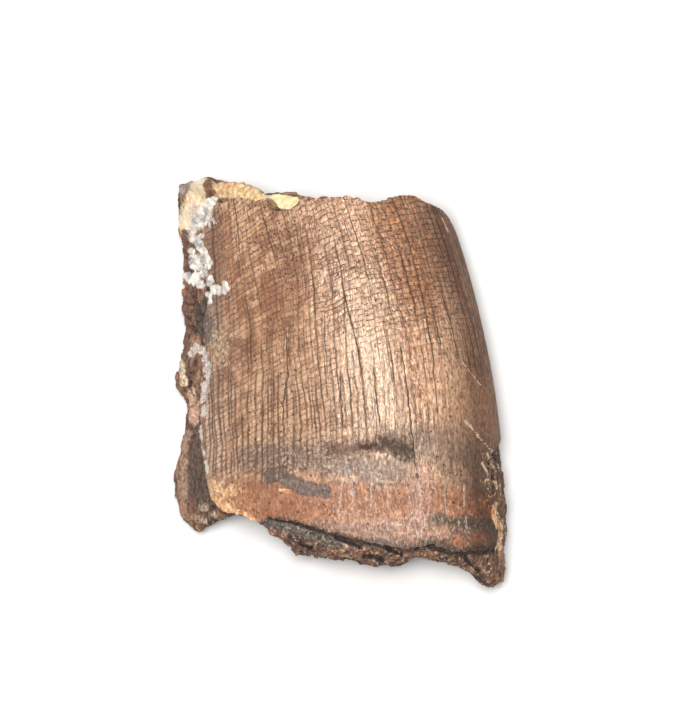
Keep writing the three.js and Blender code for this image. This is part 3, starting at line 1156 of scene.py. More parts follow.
    def break_rim(self, shell: bpy.types.Object) -> None:
        """Extrudes the rim down through the enamel, one level at a time.

        Args:
            shell: the shell, still without its wall.
        """
        mesh = shell.data
        for level, depth in enumerate(self.rim_levels):
            select_open_edges(shell)
            bpy.ops.mesh.extrude_edges_move()
            bpy.ops.object.mode_set(mode="OBJECT")
            chosen = np.zeros(len(mesh.vertices), dtype=bool)
            mesh.vertices.foreach_get("select", chosen)
            shares = read_rows(mesh, "share")[chosen].astype(np.float64)
            points, tag = self.place(shares[:, 0], shares[:, 1], depth)
            middle = points[:, :2] - np.array([1.0, 0.0])
            outwards = middle / np.linalg.norm(middle, axis=1)[:, None]
            stray = self.rim_stray * ragged(points[:, 0] * 1.9 + points[:, 1] * 1.6, 5.0 + level)
            points[:, :2] += outwards * stray[:, None]
            co = places(mesh)
            co[chosen] = self.crown.to_frame(points)
            set_places(mesh, co)
            tags = read_rows(mesh, "crown")
            tags[chosen] = tag
            store(mesh, "crown", tags)

    def close_under(self, shell: bpy.types.Object) -> None:
        """Bridges the rim's foot to a coarse sheet under the shell, which nothing shows.

        Args:
            shell: the shell with its wall.
        """
        under = self.sheet("enamel_under", self.under_columns, self.under_rows, self.thickness)
        pick(shell)
        under.select_set(True)
        bpy.ops.object.join()
        select_open_edges(shell)
        bpy.ops.mesh.bridge_edge_loops()
        bpy.ops.mesh.select_all(action="SELECT")
        bpy.ops.mesh.normals_make_consistent(inside=False)
        bpy.ops.object.mode_set(mode="OBJECT")

    def store_named(self, mesh: bpy.types.Mesh, plan: Array) -> None:
        """Stores how far each vertex lies to one side of the nearest named crack, and how near it is.

        Args:
            mesh: the shell's mesh.
            plan: its vertices' x and y.
        """
        nearest, force = np.full(len(plan), 1.0), np.zeros(len(plan))
        for mark in self.named_cracks:
            x, y = np.array(sorted(mark.path, key=lambda p: p[1])).T
            side = plan[:, 0] - np.interp(plan[:, 1], y, x)
            near = np.abs(side) < np.abs(nearest)
            nearest = np.where(near, side, nearest)
            ends = smooth_step(np.minimum(plan[:, 1] - y[0], y[-1] - plan[:, 1]), -0.1, 0.9)
            force = np.maximum(force, ends * smooth_step(np.abs(side), 0.6, 0.3))
        store(mesh, "named_gap", nearest)
        store(mesh, "named_force", force)

    def build(self) -> bpy.types.Object:
        """Builds and dresses the shell.

        Returns:
            The finished piece.
        """
        shell = self.sheet("enamel_shell", self.columns, self.rows, 0.0)
        self.break_rim(shell)
        self.close_under(shell)
        plan = plan_of(shell.data, self.crown)
        self.store_named(shell.data, plan)
        for stain in self.finish.stains:
            stain.store(shell.data, plan)
        carve(shell, "crazed_relief", EnamelRelief(self.finish.crazing))
        dress(shell, self.finish.material(), self.crease)
        return shell


# ---- Dentine ----


@dataclass(frozen=True)
class BrokenRelief(HeightRecipe):
    """The relief of broken dentine: splinters along the tooth, blocks that broke off, crumbs and a few deep gaps."""

    splinters: float = 0.5
    blocks: float = 0.34
    crumbs: float = 0.42
    layers: float = 0.1
    gaps: float = 0.7
    lowered: float = 0.76  # so that the highest points reach the solid's face

    def write(self, tree: bpy.types.NodeTree) -> bpy.types.Node:
        """Writes the height.

        Args:
            tree: the geometry tree.
        Returns:
            The node that gives the height in millimetres.
        """
        place = place_in_mm(tree)
        stray = add_node(tree, "ShaderNodeTexNoise", {"Vector": place, "Scale": 1.1, "Detail": 2.0})
        warped = add_node(
            tree, VECTOR_MATH, {0: stray.outputs["Color"], 1: (0.9, 0.9, 0.9), 2: place}, operation="MULTIPLY_ADD"
        )
        turned = add_node(tree, VECTOR_MATH, {0: warped, 1: (1.25, 0.7, 1.25)}, operation="MULTIPLY")
        cells = add_node(
            tree, "ShaderNodeTexVoronoi", {"Vector": turned, "Scale": 1.0}, voronoi_dimensions="3D", feature="F1"
        )
        own = add_node(tree, "ShaderNodeSeparateXYZ", {0: cells.outputs["Color"]})
        # Layers of growth, which show as small steps on the broken base.
        axes = add_node(tree, "ShaderNodeSeparateXYZ", {0: place})
        wander = cloud(tree, place, (0.4, 0.4, 0.4), 2.0, 8.0)
        stack = add_node(tree, MATH, {0: wander, 1: 4.0, 2: axes.outputs[2]}, operation="MULTIPLY_ADD")
        saw = add_node(tree, MATH, {0: stack}, operation="FRACT")
        open_gaps = add_node(tree, MATH, {0: stored(tree, "deep_gaps_and_painted_shade"), 1: 0.0}, operation="MAXIMUM")
        height: Input = -self.lowered
        for share, size in (
            (cloud(tree, place, (1.5, 0.2, 1.5), 3.0, 4.0), self.splinters),
            (own, self.blocks),
            (cloud(tree, place, (1.9, 1.5, 1.9), 4.0, 12.0), self.crumbs),
            (saw, self.layers),
            (open_gaps, -self.gaps),
        ):
            height = add_node(tree, MATH, {0: share, 1: size, 2: height}, operation="MULTIPLY_ADD")
        bare = add_node(tree, MATH, {0: 1.0, 1: stored(tree, "hidden")}, operation="SUBTRACT")
        rough = add_node(tree, RANGE, {"Value": stored(tree, "smooth"), "To Min": 1.0, "To Max": 0.35})
        share = add_node(tree, MATH, {0: bare, 1: rough}, operation="MULTIPLY")
        return add_node(tree, MATH, {0: height, 1: share}, operation="MULTIPLY")


@dataclass(frozen=True)
class BrokenDentine:
    """Fossil dentine, broken and stained: a dull brown fibrous mineral.

    The eye gets matt brown splinters, darkened with painted shade in the hollows and paler on the ridges, and cream
    or orange where the break is fresh.
    """

    stains: Tuple[Stain, ...]
    browns: Tuple[str, str, str] = ("#3f2c22", "#775644", "#ad8366")
    brown_stops: Tuple[float, float, float] = (0.62, 0.85, 1.0)
    # painted shade laid in the hollows
    hollow: str = "#211712"
    ridge: str = "#d3b392"
    roughness: float = 0.78
    ior: float = 1.58

    def material(self) -> bpy.types.Material:
        """Makes the material.

        Returns:
            The material.
        """
        made = empty_material("apatite_dentine_broken_brown")
        tree = made.node_tree
        place = place_in_mm(tree)
        fibres = cloud(tree, place, (2.6, 0.3, 2.6), 4.0, 4.0)
        drift = cloud(tree, place, (0.3, 0.22, 0.3), 3.0, 6.0)
        tone = add_node(tree, MATH, {0: drift, 1: 0.7, 2: fibres}, operation="MULTIPLY_ADD")
        browns = add_node(tree, "ShaderNodeValToRGB", {0: tone})
        set_tones(browns.color_ramp, self.brown_stops, self.browns)
        colour = lay_stains(tree, self.stains, False, browns, place)
        grit = cloud(tree, place, (5.5, 4.0, 5.5), 3.0, 21.0)
        spread = add_node(
            tree, RANGE, {"Value": grit, "From Min": 0.3, "From Max": 0.7, "To Min": 0.7, "To Max": 1.25}
        )
        colour = add_node(
            tree, MIX, {0: 1.0, 6: colour, 7: spread}, data_type="RGBA", blend_type="MULTIPLY"
        ).outputs[2]
        # Painted shade darkens the hollows, and the ridges are made paler.
        curve = add_node(tree, "ShaderNodeNewGeometry").outputs["Pointiness"]
        hollow_painted_shade = add_node(tree, RANGE, {"Value": curve, "From Min": 0.51, "From Max": 0.44, "To Max": 0.85})
        ridge_share = add_node(tree, RANGE, {"Value": curve, "From Min": 0.53, "From Max": 0.62, "To Max": 0.24})
        for share, shade in ((hollow_painted_shade, self.hollow), (ridge_share, self.ridge)):
            colour = add_node(tree, MIX, {0: share, 6: colour, 7: linear(shade)}, data_type="RGBA").outputs[2]
        colour = lay_stains(tree, self.stains, True, colour, place)
        bump = add_node(tree, "ShaderNodeBump", {"Height": grit, "Strength": 0.8, "Distance": 0.09 * MM})
        surface = {"Base Color": colour, "Roughness": self.roughness, "IOR": self.ior, "Normal": bump}
        shader = add_node(tree, "ShaderNodeBsdfPrincipled", surface)
        add_node(tree, "ShaderNodeOutputMaterial", {"Surface": shader})
        return made


@dataclass
class DentineBody:
    """The dentine under and around the enamel, broken on every other side."""

    crown: Crown
    shell: EnamelShell
    finish: BrokenDentine
    merging: float = 2e-6  # metres within which corners become one
    voxel: float = 0.12
    enamel_depth: float = 0.5
    overlap: float = 0.1  # how far outside the enamel's rim it is still lowered
    fading: Plan = (0.1, 0.9)  # how far inside the rim its relief starts to die out, and is gone
    fading_depth: float = 0.3  # how far under the enamel it does so
    underside: float = -0.3  # upward part of the normal below which a face rests on the ground
    thinned: float = 0.42  # share of the faces that are kept
    plain_pull: float = 20.0  # how much sooner faces go where nothing shows them
    crease: float = 60.0
    # Where it broke smoothly: the left wall's foot and the corner.
    smooth: Tuple[Mark, ...] = (
        Mark(((-13.2, -4.0), (-13.4, -7.5), (-13.2, -10.0)), 1.0),
        Mark(((-12.9, 14.0), (-12.2, 16.0), (-9.0, 16.3), (-4.5, 15.3)), 1.1),
    )

    def copy_frame(self, node: bpy.types.Object) -> bpy.types.Object:
        """Copies the frame's solid and merges its loose triangles.

        Args:
            node: the frame's own node, which stays as it is.
        Returns:
            The copy.
        """
        body = bpy.data.objects.new("dentine_body", node.data.copy())
        bpy.context.scene.collection.objects.link(body)
        body.data.materials.clear()
        pick(body)
        bpy.ops.object.mode_set(mode="EDIT")
        bpy.ops.mesh.select_all(action="SELECT")
        bpy.ops.mesh.remove_doubles(threshold=self.merging)
        bpy.ops.object.mode_set(mode="OBJECT")
        return body

    def lower_top(self, body: bpy.types.Object) -> Array:
        """Takes the enamel's thickness off the copy, and stores how far each vertex is hidden under the enamel.

        Args:
            body: the piece.
        Returns:
            1 for each vertex that lies well under the enamel, where nothing shows it, and 0 for those outside.
        """
        points = self.crown.from_frame(places(body.data))
        angle, depth = self.crown.sink(points)
        margin = self.shell.margin(angle, points[:, 1])
        lowered = (depth < self.enamel_depth) & (margin > -self.overlap)
        target = self.crown.point(angle, points[:, 1], np.full(len(points), self.enamel_depth))
        points[lowered] = target[lowered]
        set_places(body.data, self.crown.to_frame(points))
        hidden = np.where(depth < self.enamel_depth + self.fading_depth, smooth_step(margin, *self.fading), 0.0)
        store(body.data, "hidden", hidden)
        return hidden

    def stain(self, mesh: bpy.types.Mesh) -> None:
        """Stores the stains on the body's mesh, each as far down as it goes.

        Args:
            mesh: the mesh.
        """
        points = self.crown.from_frame(places(mesh))
        over = self.crown.point(self.crown.angle_over(points[:, 0], points[:, 1]), points[:, 1])
        depth = over[:, 2] - points[:, 2]
        for stain in self.finish.stains:
            stain.store(mesh, points[:, :2], depth)
        store(mesh, "smooth", marked(self.smooth, points[:, :2]))

    def build(self, node: bpy.types.Object) -> bpy.types.Object:
        """Builds and dresses the body.

        Args:
            node: the frame's own node.
        Returns:
            The finished piece.
        """
        body = self.copy_frame(node)
        remesh = body.modifiers.new("even_mesh", "REMESH")
        remesh.mode = "VOXEL"
        remesh.voxel_size = self.voxel * MM
        apply_all(body)
        hidden = self.lower_top(body)
        self.stain(body.data)
        carve(body, "broken_relief", BrokenRelief())
        normals = np.array([v.normal.z for v in body.data.vertices])
        group = body.vertex_groups.new(name="plain")
        for chosen, weight in ((normals < self.underside, 0.1), (hidden > 0.9, 1.0)):
            group.add(np.nonzero(chosen)[0].tolist(), weight, "REPLACE")
        thin = body.modifiers.new("thin_out", "DECIMATE")
        thin.ratio = self.thinned
        thin.vertex_group = "plain"
        thin.vertex_group_factor = self.plain_pull
        apply_all(body)
        keep_above_floor(body.data)
        self.stain(body.data)
        dress(body, self.finish.material(), self.crease)
        return body


# ---- Crust ----


@dataclass(frozen=True)
class Calcite:
    """Calcite that grew as fine sugary grains: white, a little grey or blue in places, and slightly clear.

    The eye gets small bright beads with soft edges.
    """

    colours: Tuple[str, str, str] = ("#aeaaa8", "#e2d8ca", "#fffaf0")
    stops: Tuple[float, float, float] = (0.36, 0.5, 0.64)
    roughness: float = 0.5
    ior: float = 1.57
    clearness: float = 0.15
    clear_depth: float = 0.1  # how far light goes into it

    def material(self) -> bpy.types.Material:
        """Makes the material.

        Returns:
            The material.
        """
        made = empty_material("calcite_crust_sugary_white")
        tree = made.node_tree
        place = place_in_mm(tree)
        tone = cloud(tree, place, (1.1, 1.1, 1.1), 3.0, 3.0)
        whites = add_node(tree, "ShaderNodeValToRGB", {0: tone})
        set_tones(whites.color_ramp, self.stops, self.colours)
        sugar = cloud(tree, place, (9.0, 9.0, 9.0), 2.0, 5.0)
        bump = add_node(tree, "ShaderNodeBump", {"Height": sugar, "Strength": 0.6, "Distance": 0.05 * MM})
        surface = {
            "Base Color": whites,
            "Roughness": self.roughness,
            "IOR": self.ior,
            "Subsurface Weight": self.clearness,
            "Subsurface Scale": self.clear_depth * MM,
            "Normal": bump,
        }
        shader = add_node(tree, "ShaderNodeBsdfPrincipled", surface)
        add_node(tree, "ShaderNodeOutputMaterial", {"Surface": shader})
        return made


@dataclass(frozen=True)
class SugarRelief(HeightRecipe):
    """The relief of sugary calcite: small lumps on its grains."""

    lumps: float = 0.14

    def write(self, tree: bpy.types.NodeTree) -> bpy.types.Node:
        """Returns the node that gives the height in millimetres."""
        sugar = cloud(tree, place_in_mm(tree), (3.4, 3.4, 3.4), 2.0, 9.0)
        return add_node(tree, MATH, {0: sugar, 1: self.lumps, 2: -0.5 * self.lumps}, operation="MULTIPLY_ADD")


@dataclass
class CalciteCrust:
    """Grains of calcite that stand on the broken left side and creep over the enamel's edge."""

    crown: Crown
    finish: Calcite
    grain: float = 0.27  # mean radius
    apart: float = 0.32
    sizes: Plan = (0.5, 1.5)  # least and most, as shares of the mean
    density: float = 3.0e7  # seeds to a square metre, before those that stand too close are dropped
    steepest_shell: float = 0.15  # least upward part of the normal of a face that carries grains
    steepest_body: float = -1.1
    voxel: float = 0.075
    softening: float = 0.6
    softenings: int = 3
    crease: float = 60.0

    def grow(self, host: bpy.types.Object, steepest: float) -> bpy.types.Object:
        """Grows grains where a host is marked for them.

        Args:
            host: a finished piece, which stays as it is.
            steepest: the least upward part of the normal of a face that carries grains.
        Returns:
            The grains alone.
        """
        crust = bpy.data.objects.new("calcite_crust", host.data.copy())
        bpy.context.scene.collection.objects.link(crust)
        store(crust.data, "crust", marked(crust_marks(), plan_of(crust.data, self.crown)))
        tree, entry = geometry_tree("calcite_growth")
        patchy = cloud(tree, place_in_mm(tree), (1.6, 1.6, 1.6), 2.0, 6.0)
        strength = add_node(tree, MATH, {0: patchy, 1: 0.5, 2: stored(tree, "crust")}, operation="MULTIPLY_ADD")
        share = add_node(tree, RANGE, {"Value": strength, "From Min": 0.6, "From Max": 0.8})
        facing = add_node(tree, "ShaderNodeSeparateXYZ", {0: add_node(tree, "GeometryNodeInputNormal")})
        steep = add_node(tree, MATH, {0: facing.outputs[2], 1: steepest}, operation="LESS_THAN")
        kept = add_node(tree, "GeometryNodeDeleteGeometry", {"Geometry": entry, "Selection": steep}, domain="FACE")
        spacing = {
            "Mesh": kept,
            "Distance Min": self.apart * MM,
            "Density Max": self.density,
            "Density Factor": share,
            "Seed": 11,
        }
        seeds = add_node(tree, "GeometryNodeDistributePointsOnFaces", spacing, distribute_method="POISSON")
        bead = add_node(tree, "GeometryNodeMeshIcoSphere", {"Radius": self.grain * MM, "Subdivisions": 2})
        ranges = ((*self.sizes, 3), (0.0, 6.28, 4))
        kind, three = "FunctionNodeRandomValue", "FLOAT_VECTOR"
        size, turn = [
            add_node(tree, kind, {0: (low,) * 3, 1: (high,) * 3, "Seed": seed}, data_type=three)
            for low, high, seed in ranges
        ]
        each = {"Points": seeds, "Instance": bead, "Rotation": turn, "Scale": size}
        grains = add_node(tree, "GeometryNodeInstanceOnPoints", each)
        real = add_node(tree, "GeometryNodeRealizeInstances", {0: grains})
        add_node(tree, "NodeGroupOutput", {0: real})
        crust.modifiers.new("growth", "NODES").node_group = tree
        apply_all(crust)
        return crust

    def build(self, shell: bpy.types.Object, body: bpy.types.Object) -> bpy.types.Object:
        """Builds and dresses the crust.

        Args:
            shell: the enamel, which it creeps over.
            body: the dentine, which it stands on.
        Returns:
            The finished piece.
        """
        # A bridged wall's faces come in no fixed order, so the shell's walls carry no grains of their own.
        over_shell, over_body = self.grow(shell, self.steepest_shell), self.grow(body, self.steepest_body)
        crust = pick(over_shell)
        over_body.select_set(True)
        bpy.ops.object.join()
        crust.name = "calcite_crust"
        melted = crust.modifiers.new("melted", "REMESH")
        melted.mode = "VOXEL"
        melted.voxel_size = self.voxel * MM
        softened = crust.modifiers.new("softened", "SMOOTH")
        softened.factor = self.softening
        softened.iterations = self.softenings
        apply_all(crust)
        carve(crust, "sugary_relief", SugarRelief())
        keep_above_floor(crust.data)
        dress(crust, self.finish.material(), self.crease)
        return crust


# ---- Setting ----


@dataclass(frozen=True)
class Studio:
    """A pale floor, soft light from overhead and a camera that looks straight down."""

    view_centre: Plan = (0.6375, 1.53)  # in the crown's plan
    view_height: float = 61.88  # millimetres from top to bottom of the image
    focus_z: float = 4.0
    lens: float = 250.0
    sensor: float = 36.0
    floor_colour: str = "#f7f6f4"
    floor_side: float = 3.0  # metres
    floor_drop: float = 0.00002  # metres, so that the fossil's foot doesn't lie in the floor
    lamp_place: Tuple[float, float, float] = (-0.05, 0.068, 0.755)  # metres
    lamp_sides: Plan = (0.34, 0.22)  # metres
    lamp_power: float = 6.1  # watts
    room_colour: str = "#f4f4f6"
    room_glow: float = 0.2

    def floor(self) -> None:
        """Lays the floor, a sheet of matt pale card that gives the eye a soft shadow and nothing else."""
        bpy.ops.object.select_all(action="DESELECT")
        bpy.ops.mesh.primitive_plane_add(size=self.floor_side, location=(0.0, 0.0, -self.floor_drop))
        floor = bpy.context.active_object
        floor.name = "floor"
        made = empty_material("matt_pale_card")
        tree = made.node_tree
        surface = {"Base Color": linear(self.floor_colour), "Roughness": 0.9}
        shader = add_node(tree, "ShaderNodeBsdfPrincipled", surface)
        add_node(tree, "ShaderNodeOutputMaterial", {"Surface": shader})
        floor.data.materials.append(made)

    def lamp(self) -> None:
        """Hangs the soft box, which faces the fossil."""
        data = bpy.data.lights.new("softbox_over", "AREA")
        data.shape = "RECTANGLE"
        data.size, data.size_y = self.lamp_sides
        data.energy = self.lamp_power
        lamp = bpy.data.objects.new("softbox_over", data)
        lamp.location = self.lamp_place
        lamp.rotation_euler = (-Vector(self.lamp_place)).to_track_quat("-Z", "Y").to_euler()
        bpy.context.scene.collection.objects.link(lamp)

    def camera(self, crown: Crown) -> None:
        """Sets the camera over the middle of the view.

        Args:
            crown: the crown, which knows its shift to the frame.
        """
        data = bpy.data.cameras.new("camera")
        data.lens = self.lens
        data.sensor_width = self.sensor
        camera = bpy.data.objects.new("camera", data)
        x, y = np.array(self.view_centre) + np.array(crown.shift)
        distance = self.view_height * self.lens / data.sensor_width
        camera.location = (x * MM, y * MM, (self.focus_z + distance) * MM)
        bpy.context.scene.collection.objects.link(camera)
        bpy.context.scene.camera = camera

    def room(self) -> None:
        """Sets the pale surroundings."""
        world = bpy.data.worlds.new("pale_room")
        world.use_nodes = True
        tree = world.node_tree
        tree.nodes.clear()
        light = {"Color": linear(self.room_colour), "Strength": self.room_glow}
        glow = add_node(tree, "ShaderNodeBackground", light)
        add_node(tree, "ShaderNodeOutputWorld", {"Surface": glow})
        bpy.context.scene.world = world
        bpy.context.scene.view_settings.view_transform = "Standard"


# ---- Finishes ----


